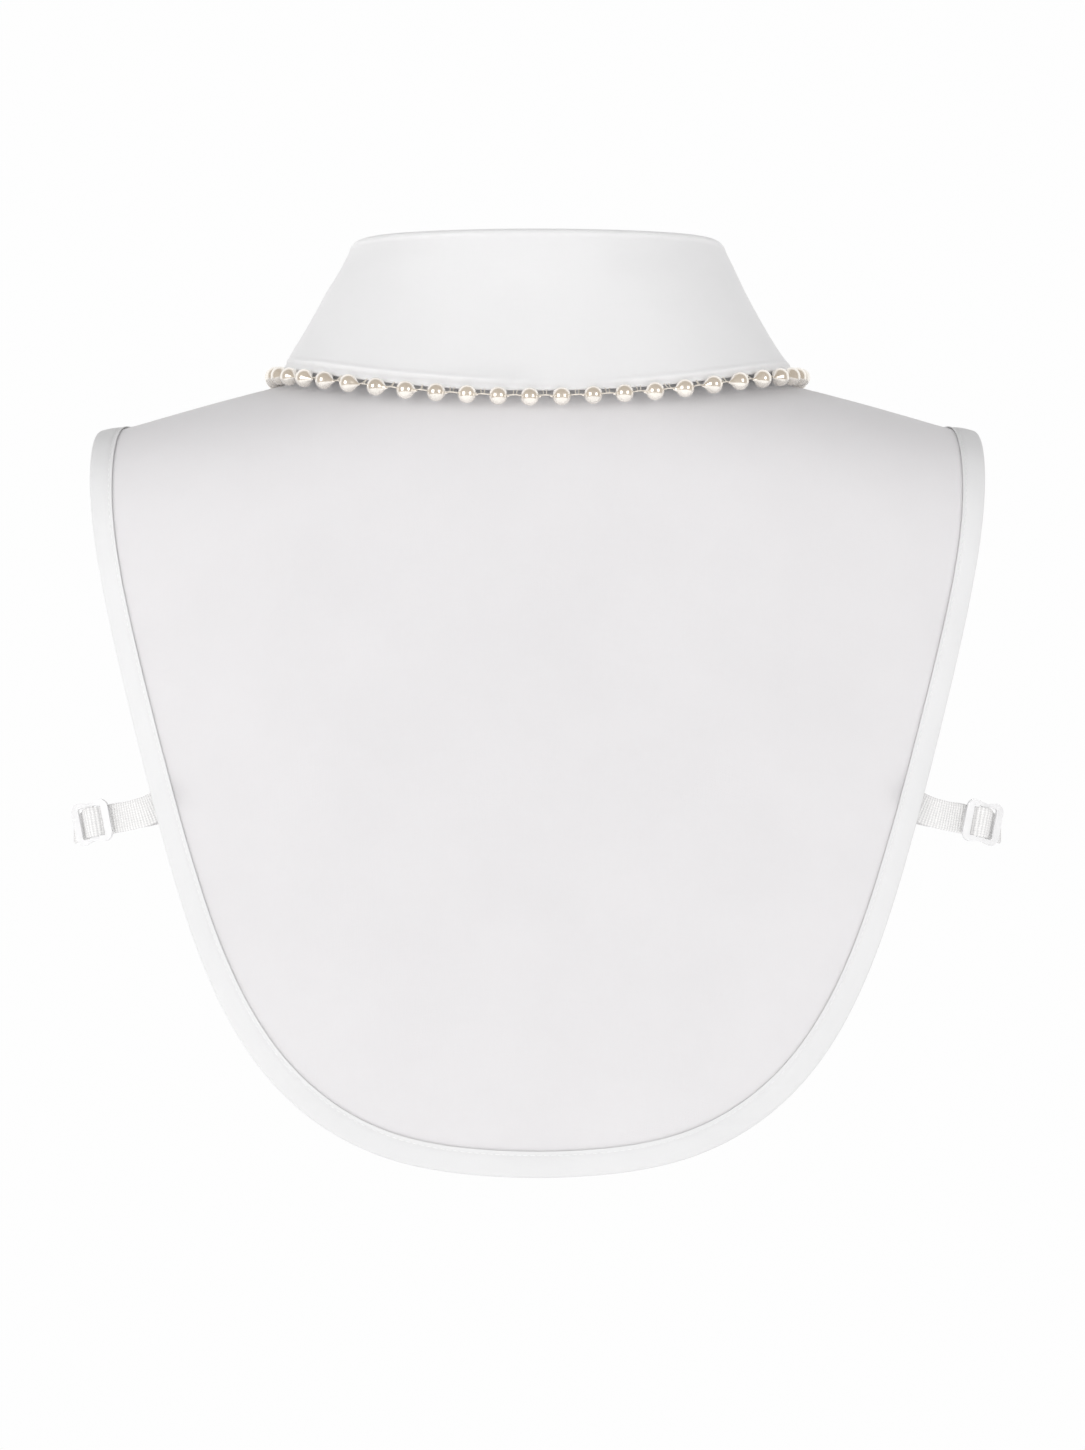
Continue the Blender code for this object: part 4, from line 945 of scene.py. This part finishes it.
# columns: half width, depth and height of the pins past the back's edge
STRAP_PINS = np.array([
    (166.9, 66.5, -177.8), (172.2, 62.8, -179.3), (174.0, 56.5, -180.2), (174.6, 40.0, -180.6),
    (175.8, 0.0, -181.0), (174.6, -32.0, -180.4), (165.6, -58.0, -177.5),
])


def strap_end(name):
    """Two points under a panel's edge at the strap's height, one inside the edge and one at it."""
    edge = patches[name][1][:SIDE_CELLS + 1]
    heights = -figure(*edge.T)[:, 2]
    x, w = (np.interp(-STRAP_HEIGHT, heights, edge[:, k]) for k in (0, 1))
    pair = np.array([(x - STRAP_UNDER, w - 2.0 * np.sign(w)), (x + 0.5, w)])
    return figure(*pair.T) - figure_normal(*pair.T) * STRAP_DEPTH


strap_line, strap_length = even_curve(
    np.concatenate([strap_end("back"), STRAP_PINS, strap_end("front")[::-1]]), 4000)
strap_way = np.linspace(0, strap_length, len(strap_line))
SLIDER_WAY = strap_way[np.argmin(np.linalg.norm(strap_line - STRAP_PINS[0], axis=1))]


def strap_axes(ways):
    """Place, forward, outward and upward directions at each way along the strap."""
    place, ahead, behind = (along_line(ways + step, strap_way, strap_line) for step in (0, 0.8, -0.8))
    forward = unit(ahead - behind)
    outward = unit(np.cross(forward, [0.0, 0.0, -1.0]))
    outward = outward * np.where(outward[:, :1] < 0, -1.0, 1.0)
    return place, forward, outward, np.cross(forward, outward)


def strap_wave(way):
    """Height over the plain route: a cosine over the slider, under its end bars and over its middle one."""
    bar, way = (SLIDER_SLOT_END + SLIDER_LENGTH / 2) / 2, np.abs(way)
    wave = STRAP_WAVE * np.cos(np.pi * np.minimum(way, bar) / bar)
    return wave * (1 - smooth_step((way - SLIDER_LENGTH / 2 - 1.0) / 10.0))


print(f"strap {strap_length:.0f} mm long, slider {SLIDER_WAY:.0f} mm along it")


# %% Straps
def strap(name, hand):
    """A flat band whose faces rise and fall by a rib at every pitch, with a plain cord along each edge."""
    ways = np.linspace(0, strap_length, 900)
    place, forward, outward, upward = strap_axes(ways)
    place = place + outward * strap_wave(ways - SLIDER_WAY)[:, None]
    tilt = unit(np.cross(np.gradient(place, axis=0), upward))
    tilt = tilt * np.sign((tilt * outward).sum(-1, keepdims=True))
    v = np.linspace(-1, 1, 15)
    rib = 0.13 * np.cos(2 * np.pi * ways / RIB_PITCH)[:, None] * smooth_step((1 - np.abs(v)) / 0.14)[None]
    cord = 0.10 * np.exp(-(((np.abs(v) - 0.92) / 0.06) ** 2))[None]
    thick = (0.36 + rib + cord) * np.sqrt(np.maximum(1 - np.abs(v) ** 12, 0.01))[None]
    flat = place[:, None] + upward[:, None] * (v * STRAP_WIDTH / 2)[None, :, None]
    loop = np.concatenate([flat + tilt[:, None] * thick[..., None],
                           (flat - tilt[:, None] * thick[..., None])[:, ::-1]], axis=1)
    pattern = cloth_grid(ways[:, None], np.concatenate([v, 2 - v])[None] * STRAP_WIDTH / 2)
    tubes(name, (loop * (MIRROR if hand < 0 else 1.0))[None], pattern[None])


def slider_half_width(way):
    """Two lobes with a waist between, less a quarter circle at each end."""
    end = SLIDER_LENGTH / 2
    lobe = 1 - SLIDER_WAIST / (SLIDER_WIDTH / 2) * np.cos(np.pi * way / end / 1.15) ** 2
    inside = np.clip((end - np.abs(way)) / SLIDER_CORNER, 0, 1)
    return SLIDER_WIDTH / 2 * lobe - SLIDER_CORNER * (1 - np.sqrt(1 - (1 - inside) ** 2))


def slider(name, hand):
    """A plate of two faces over a grid of columns and rows, without the cells of its two slots, and its rims."""
    end, turn = SLIDER_LENGTH / 2, np.linspace(0, np.pi / 2, 9)
    curved = end - SLIDER_CORNER * (1 - np.cos(turn))
    slot = SLOT_CORNER * (1 - np.cos(turn))
    knots = np.concatenate([curved, SLIDER_SLOT_END - slot, SLIDER_BAR + slot, [0.0]])
    ways = np.unique(np.round(np.concatenate([knots, -knots]), 4))
    to_slot = np.minimum(np.abs(np.abs(ways) - SLIDER_BAR), np.abs(np.abs(ways) - SLIDER_SLOT_END))
    in_slot = (np.abs(ways) >= SLIDER_BAR) & (np.abs(ways) <= SLIDER_SLOT_END)
    corner = SLOT_CORNER * (1 - np.sqrt(1 - (1 - np.clip(to_slot / SLOT_CORNER, 0, 1)) ** 2))
    inner = SLIDER_SLOT_HALF - np.where(in_slot, corner, SLOT_CORNER)
    outer = slider_half_width(ways)
    v = np.stack([-outer, -(outer + inner) / 2, -inner, inner, (outer + inner) / 2, outer], axis=-1)
    quads = grid_quads(*v.shape)
    middle = np.abs(ways[:-1] + ways[1:]) / 2
    open_row = (middle > SLIDER_BAR) & (middle < SLIDER_SLOT_END)
    cells = np.ones((len(ways) - 1, 5), bool)
    cells[open_row, 2] = False
    quads = quads[cells.ravel()]
    (place,), (forward,), (outward,), (upward,) = strap_axes(np.array([SLIDER_WAY]))
    flat = place + ways[:, None, None] * forward + v[..., None] * upward
    bow = 0.35 * (1 - (ways / end) ** 2)[:, None, None] * outward
    points = np.concatenate([(flat + bow + outward * s * SLIDER_WALL / 2).reshape(-1, 3) for s in (1, -1)])
    count = v.size
    edges = np.concatenate([quads[:, [k, (k + 1) % 4]] for k in range(4)])
    known = edges[:, 0] * count + edges[:, 1]
    rim = edges[~np.isin(known, edges[:, 1] * count + edges[:, 0])]
    rim = np.stack([rim[:, 1], rim[:, 0], rim[:, 0] + count, rim[:, 1] + count], axis=-1)
    faces = np.concatenate([quads, quads[:, ::-1] + count, rim])
    points = points * (MIRROR if hand < 0 else 1.0)
    if volume_of(points, faces) < 0:
        faces = faces[:, ::-1]
    used, again = np.unique(faces, return_inverse=True)
    piece = add_piece(name, points[used], again.reshape(-1, 4).tolist(), sharp=None)
    rounding = piece.modifiers.new("rounded edges", "BEVEL")
    rounding.width, rounding.segments, rounding.angle_limit = 0.4 * MM, 3, math.radians(55)


for side, hand in (("left", 1), ("right", -1)):
    strap(f"elastic_{side}", hand)
    slider(f"bar_slider_{side}", hand)
tell("elastic_left")

# %% [markdown]
# ## Buttons
# One button closes the stand and four close the fronts. A shirt button is a turned disc with a raised rim and
# four holes, sewn on with a cross of thread. The disc is a height worked out over rings and turns: the rim's
# profile, less a deep dimple at each hole.

# %% Buttons and their thread
BUTTON_RADIUS, BUTTON_WALL, HOLE_AWAY, HOLE_RADIUS = 5.0, 2.2, 1.35, 0.62
STAND_BUTTON_SHARE, FRONT_BUTTON_WAYS = 0.28, np.array([-110.0, -165.0, -220.0, -275.0])


def button(name, place, normal):
    """Top face, rim and back of one button as a single turned surface of radius r and height h."""
    side = unit(np.cross(normal, [1.0, 0.0, 0.0]))
    other = np.cross(normal, side)
    dish = np.linspace(0.02, 0.70, 40)
    rim = np.array([(0.76, 0.86), (0.80, 0.96), (0.86, 1.0), (0.92, 0.97), (0.97, 0.86), (1.0, 0.66), (1.0, 0.36),
                    (0.97, 0.18), (0.90, 0.06), (0.80, 0.0), (0.30, 0.0), (0.02, 0.0)])
    r = np.concatenate([dish, rim[:, 0]])[:, None] * BUTTON_RADIUS
    h = np.concatenate([0.70 - 0.06 * np.cos(dish / 0.70 * np.pi), rim[:, 1]])[:, None] * BUTTON_WALL
    turn = full_turn(96)[None]
    a, b = r * np.cos(turn), r * np.sin(turn)
    away = HOLE_AWAY / math.sqrt(2)
    hole = np.hypot(np.abs(a) - away, np.abs(b) - away)
    top = (np.arange(len(r)) < len(dish))[:, None]
    h = h - top * 1.15 * (1 - smooth_step((hole - HOLE_RADIUS + 0.16) / 0.32))
    points = place + a[..., None] * side + b[..., None] * other + h[..., None] * normal
    tubes(name, points[None], sharp=None)
    corner = np.array([(1, 1), (-1, 1), (-1, -1), (1, -1)]) * away
    ends = np.stack([corner, -corner], axis=1)[:2]
    share = np.linspace(0, 1, 13)[None, :, None]
    flat = ends[:, :1] * (1 - share) + ends[:, 1:] * share
    high = 0.62 * BUTTON_WALL + 0.34 * np.sin(np.pi * share[..., 0]) ** 0.5 + np.array([[0.0], [0.18]])
    high = high - 0.9 * (np.abs(share[..., 0] - 0.5) > 0.49)
    line = place + flat[..., :1] * side + flat[..., 1:] * other + high[..., None] * normal
    ahead = unit(np.gradient(line, axis=1))
    flank = unit(np.cross(ahead, normal))
    up = np.cross(flank, ahead)
    tubes(f"{name}_thread", rings(line, flank, up, 0.26, 8))


def buttonhole(name, place, normal, along):
    """A slit worked round with close stitches: a low oval ring, 13 mm long, whose radius waves with each stitch."""
    flank = unit(np.cross(along, normal))
    turn = full_turn(260)
    long, wide = 6.4 * np.cos(turn), np.sin(turn)
    middle = place + long[:, None] * along + (np.sign(wide) * np.abs(wide) ** 0.35)[:, None] * flank
    out = unit(middle - place - ((middle - place) @ along)[:, None] * along * 0.8)
    points = rings(middle, out, 0.55 * normal, 0.42 + 0.09 * np.cos(turn * 65), 8).reshape(-1, 3)
    first, end = np.arange(8), np.arange(8) + (len(turn) - 1) * 8
    last = np.stack([end, np.roll(end, -1), np.roll(first, -1), first], axis=-1)
    faces = np.concatenate([grid_quads(len(turn), 8, around=True), last])
    if volume_of(points, faces) < 0:
        faces = faces[:, ::-1]
    add_piece(name, points, faces.tolist(), sharp=None)


stand_end = np.array([-math.pi])
(end_top,), (end_out,) = stand_top(stand_end)
end_foot = stand_foot(stand_end)[0]
on_stand = (1 - STAND_BUTTON_SHARE) * end_foot + STAND_BUTTON_SHARE * end_top + end_out * 1.1
button("button_disc_1", on_stand, end_out)
front_points, front_out = lay(np.stack([np.zeros(4), FRONT_BUTTON_WAYS], axis=-1), "front_right")
for number, (place, out) in enumerate(zip(front_points, front_out), 2):
    button(f"button_disc_{number}", place + out * 0.8, out)
    buttonhole(f"buttonhole_{number}", place + out * 0.5, out, unit(np.cross([1.0, 0.0, 0.0], out)))
tell("button_disc_1")

# %% [markdown]
# ## Finishes
# Shirt cotton is a plain weave: each thread goes over one and under the next, which is the product of two cosines,
# one along each thread. Threads are never even, so a noise stretched along them adds slubs, and a wide faint
# cloud keeps the white from being one flat colour. The relief comes from a Bump node, in real millimetres.

# %% Cloth finish
THREAD_PITCH, LIGHT_DEPTH = 0.42, 2.4
WAVE = math.pi / 10  # a Wave texture's scale for one wave in each unit
# columns: slot, finish, colour, height of the slubs, relief in mm, share of light let through
CLOTHS = [
    ("poplin", "shirt_poplin", (0.655, 0.643, 0.651), 0.5, 0.10, 0.7),
    ("collar_cloth", "stiffened_poplin", (0.80, 0.798, 0.80), 0.35, 0.07, 1.0),
    ("binding_tape", "folded_strip", (0.735, 0.735, 0.737), 0.45, 0.09, 0.0),
]


def new_material(name, colour, roughness, **values):
    """A Principled material with its values set, and a short way to add and join its nodes."""
    material = bpy.data.materials.new(name)
    material.use_nodes = True
    nodes, links = material.node_tree.nodes, material.node_tree.links
    shader = nodes["Principled BSDF"]
    for socket, value in {"Base Color": (*colour, 1), "Roughness": roughness, **values}.items():
        shader.inputs[socket.replace("_", " ")].default_value = value

    def node(kind, feeds=(), **settings):
        one = nodes.new(kind)
        for key, value in settings.items():
            setattr(one, key, value)
        for socket, value in feeds:
            if hasattr(value, "is_output"):
                links.new(value, one.inputs[socket])
            else:
                one.inputs[socket].default_value = value
        return one

    return material, shader, node, links


def noise(node, vector, scale, detail=3.0):
    """The value of a Noise texture on a vector."""
    return node("ShaderNodeTexNoise", [("Vector", vector), ("Scale", scale), ("Detail", detail)]).outputs["Fac"]


def stretched(node, vector, scale):
    """A vector with each part multiplied on its own."""
    return node("ShaderNodeMapping", [("Vector", vector), ("Scale", scale)]).outputs[0]


def maths(node, kind, a, b):
    """Add, subtract or multiply two values."""
    return node("ShaderNodeMath", [(0, a), (1, b)], operation=kind).outputs[0]


def raised(node, links, shader, height, strength, relief):
    """Joins a height through a Bump node, its relief in millimetres, to the shader."""
    bump = node("ShaderNodeBump", [("Height", height), ("Strength", strength), ("Distance", relief * MM)])
    links.new(bump.outputs[0], shader.inputs["Normal"])


def coloured(node, colour, share, spread):
    """A colour that goes from a little darker to a little lighter with a share from 0 to 1."""
    ramp = node("ShaderNodeValToRGB", [("Fac", share)])
    for stop, factor in zip(ramp.color_ramp.elements, (1 - spread, 1 + spread)):
        stop.color = (*(min(c * factor, 1.0) for c in colour), 1)
    ramp.color_ramp.elements[0].position, ramp.color_ramp.elements[1].position = 0.3, 0.7
    return ramp.outputs["Color"]


def cloth_finish(name, colour, slub, relief, through):
    """Plain weave on the cloth's own coordinates: (cos u)(cos v) with slubs both ways, and a wide faint cloud.

    Thin cotton lets light through, which is light spread under its surface over a millimetre or two."""
    material, shader, node, links = new_material(
        name, colour, 0.86, Sheen_Weight=0.12, Sheen_Roughness=0.5, Specular_IOR_Level=0.25,
        Subsurface_Weight=through, Subsurface_Radius=(1.0, 1.0, 1.0), Subsurface_Scale=LIGHT_DEPTH * MM)
    cloth = node("ShaderNodeUVMap", uv_map="cloth").outputs[0]
    millimetres = stretched(node, cloth, (1000.0, 1000.0, 1.0))
    waves = [node("ShaderNodeTexWave", [("Vector", millimetres), ("Scale", WAVE / THREAD_PITCH), ("Distortion", 0.35),
                                        ("Detail", 1.0), ("Detail Scale", 0.6)], bands_direction=way).outputs["Fac"]
             for way in "XY"]
    weave = maths(node, "MULTIPLY", maths(node, "SUBTRACT", waves[0], 0.5), maths(node, "SUBTRACT", waves[1], 0.5))
    down = noise(node, stretched(node, millimetres, (2.2, 0.10, 1.0)), 1.0)
    along = noise(node, stretched(node, millimetres, (0.09, 2.0, 1.0)), 1.0)
    slubs = maths(node, "MULTIPLY", maths(node, "ADD", down, along), slub)
    raised(node, links, shader, maths(node, "ADD", weave, slubs), 0.6, relief)
    place = node("ShaderNodeTexCoord").outputs["Object"]
    cloud = noise(node, place, 26.0, 2.0)
    grain = maths(node, "MULTIPLY", maths(node, "ADD", down, along), 0.30)
    share = maths(node, "ADD", maths(node, "MULTIPLY", cloud, 0.7), maths(node, "MULTIPLY", grain, 0.6))
    links.new(coloured(node, colour, share, 0.018), shader.inputs["Base Color"])
    return material


finishes = {slot: cloth_finish(*row) for slot, *row in CLOTHS}
print("cloth finishes:", sorted(finishes))


# %% Elastic, thread, pearl and plastic finishes
ELASTIC_COLOUR, LINE_PITCH = (0.775, 0.77, 0.765), 0.9


def elastic_finish():
    """Covered rubber threads: fine lines along the band, over the ribs that the shape already has."""
    material, shader, node, links = new_material("ribbed_elastic", ELASTIC_COLOUR, 0.8)
    cloth = node("ShaderNodeUVMap", uv_map="cloth").outputs[0]
    millimetres = stretched(node, cloth, (1000.0, 1000.0, 1.0))
    lines = node("ShaderNodeTexWave", [("Vector", millimetres), ("Scale", WAVE / LINE_PITCH), ("Distortion", 0.5)],
                 bands_direction="Y").outputs["Fac"]
    ribs = node("ShaderNodeTexWave", [("Vector", millimetres), ("Scale", WAVE / RIB_PITCH), ("Distortion", 0.3)],
                bands_direction="X").outputs["Fac"]
    yarn = noise(node, stretched(node, millimetres, (3.0, 1.2, 1.0)), 1.0)
    raised(node, links, shader, maths(node, "ADD", lines, yarn), 0.6, 0.12)
    share = maths(node, "ADD", maths(node, "MULTIPLY", ribs, 0.65), maths(node, "MULTIPLY", lines, 0.35))
    links.new(coloured(node, ELASTIC_COLOUR, share, 0.10), shader.inputs["Base Color"])
    return material


def thread_finish(name, colour):
    """Spun thread: a slight shine and a fine twist of light and dark."""
    material, shader, node, links = new_material(name, colour, 0.55)
    place = node("ShaderNodeTexCoord").outputs["Object"]
    twist = noise(node, place, 1500.0, 1.0)
    links.new(coloured(node, colour, twist, 0.05), shader.inputs["Base Color"])
    return material


def pearl_finish():
    """Ivory glass with a pearl coat: warm in the body, a clear coat over it, and each bead a little different."""
    colour = (0.93, 0.885, 0.82)
    material, shader, node, links = new_material(
        "ivory_pearl", colour, 0.17, Metallic=0.7, Coat_Weight=1.0, Coat_Roughness=0.04)
    place = node("ShaderNodeTexCoord").outputs["Object"]
    links.new(coloured(node, colour, noise(node, place, 90.0, 1.0), 0.07), shader.inputs["Base Color"])
    raised(node, links, shader, noise(node, place, 700.0, 2.0), 0.2, 0.03)
    return material


def plastic_finish(name, colour, roughness, clear):
    """Moulded plastic: smooth, with a faint flow in its colour and roughness, and some light let through."""
    material, shader, node, links = new_material(name, colour, roughness, Transmission_Weight=clear, IOR=1.48)
    place = node("ShaderNodeTexCoord").outputs["Object"]
    flow = noise(node, place, 240.0, 2.0)
    links.new(coloured(node, colour, flow, 0.02), shader.inputs["Base Color"])
    spread = node("ShaderNodeMapRange", [("Value", flow), ("To Min", roughness * 0.8), ("To Max", roughness * 1.3)])
    links.new(spread.outputs["Result"], shader.inputs["Roughness"])
    return material


finishes["elastic"] = elastic_finish()
finishes["pearl"] = pearl_finish()
finishes["slider_plastic"] = plastic_finish("clear_white_plastic", (0.87, 0.87, 0.875), 0.32, 0.12)
finishes["button_plastic"] = plastic_finish("white_button", (0.84, 0.84, 0.82), 0.22, 0.0)
white_thread = thread_finish("white_thread", (0.82, 0.82, 0.82))
ivory_thread = thread_finish("ivory_thread", (0.80, 0.75, 0.66))
print("finishes:", sorted(finishes))

# %% [markdown]
# ## Joining the pieces to the part
# Each new piece that stands for a plain solid hides that solid and takes its finish, the rest take thread, and all
# ride on the part's one body. The cut sizes of the cloth pieces are listed below and printed with their measured
# areas.

# %% Who stands for what
# columns: new piece, plain solid, finish
STANDS_FOR = [
    ("cloth_back", "back_panel", "poplin"),
    ("cloth_front_left", "front_panel_left", "poplin"),
    ("cloth_front_right", "front_panel_right", "poplin"),
    ("edge_back", "binding_back", "binding_tape"),
    ("edge_front_left", "binding_front_left", "binding_tape"),
    ("edge_front_right", "binding_front_right", "binding_tape"),
    ("stand", "collar_stand", "collar_cloth"),
    ("fall", "collar_fall", "collar_cloth"),
    ("pearls", "pearl_trim", "pearl"),
    ("elastic_left", "strap_left", "elastic"),
    ("elastic_right", "strap_right", "elastic"),
    ("bar_slider_left", "slider_left", "slider_plastic"),
    ("bar_slider_right", "slider_right", "slider_plastic"),
] + [(f"button_disc_{n}", f"button_{n}", "button_plastic") for n in range(1, 6)]
for new, plain, finish in STANDS_FOR:
    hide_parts(plain)
    made[new].data.materials.append(finishes[finish])
for name, piece in made.items():
    if not piece.data.materials:
        ivory = name in ("pearl_thread", "thread_ties")
        piece.data.materials.append(ivory_thread if ivory else white_thread)
    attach(piece, "root")
print(len(made), "pieces,", sum(len(p.data.polygons) for p in made.values()), "faces")


# %% Sizes of the cut cloth
def measured_area(name):
    """Half the surface of a closed thin wall, in square metres."""
    return sum(face.area for face in made[name].data.polygons) / 2


# columns: piece, width and length of its cut in metres, its area, how it is held, what it rests on
SHEETS = [
    ("cloth_back", 0.345, 0.410, 0.100, "hung", ["stand"]),
    ("cloth_front_left", 0.190, 0.330, 0.045, "hung", ["stand"]),
    ("cloth_front_right", 0.190, 0.330, 0.045, "hung", ["stand"]),
    ("edge_back", 0.020, 0.905, 0.0180, "folded", ["cloth_back"]),
    ("edge_front_left", 0.020, 0.430, 0.0085, "folded", ["cloth_front_left"]),
    ("edge_front_right", 0.020, 0.430, 0.0085, "folded", ["cloth_front_right"]),
    ("stand", 0.036, 0.440, 0.0158, "stretched", ["cloth_back"]),
    ("fall", 0.085, 0.620, 0.034, "folded", ["stand"]),
    ("elastic_left", 0.011, 0.212, 0.0023, "stretched", ["cloth_back", "cloth_front_left"]),
    ("elastic_right", 0.011, 0.212, 0.0023, "stretched", ["cloth_back", "cloth_front_right"]),
]
for name, width, length, area, held, rests in SHEETS:
    print(f"{name}: {measured_area(name):.4f} square metres, cut {area:.4f}")

# %% [markdown]
# ## Floor
# A plain white floor well below the collar, lit a little from beneath, gives light from underneath, as a photo
# table does.

# %% Floor
FLOOR_RADIUS, FLOOR_HEIGHT, FLOOR_GLOW = 1600.0, -600.0, 0.32
turn = full_turn(64)
disc = np.stack([FLOOR_RADIUS * np.cos(turn), FLOOR_RADIUS * np.sin(turn), np.full_like(turn, FLOOR_HEIGHT)], axis=-1)
floor = add_piece("floor", disc, [list(range(len(turn)))], sharp=None)
floor_finish, *_ = new_material(
    "white_floor", (0.9, 0.9, 0.9), 0.9, Emission_Color=(1.0, 1.0, 1.0, 1.0), Emission_Strength=FLOOR_GLOW)
floor.data.materials.append(floor_finish)
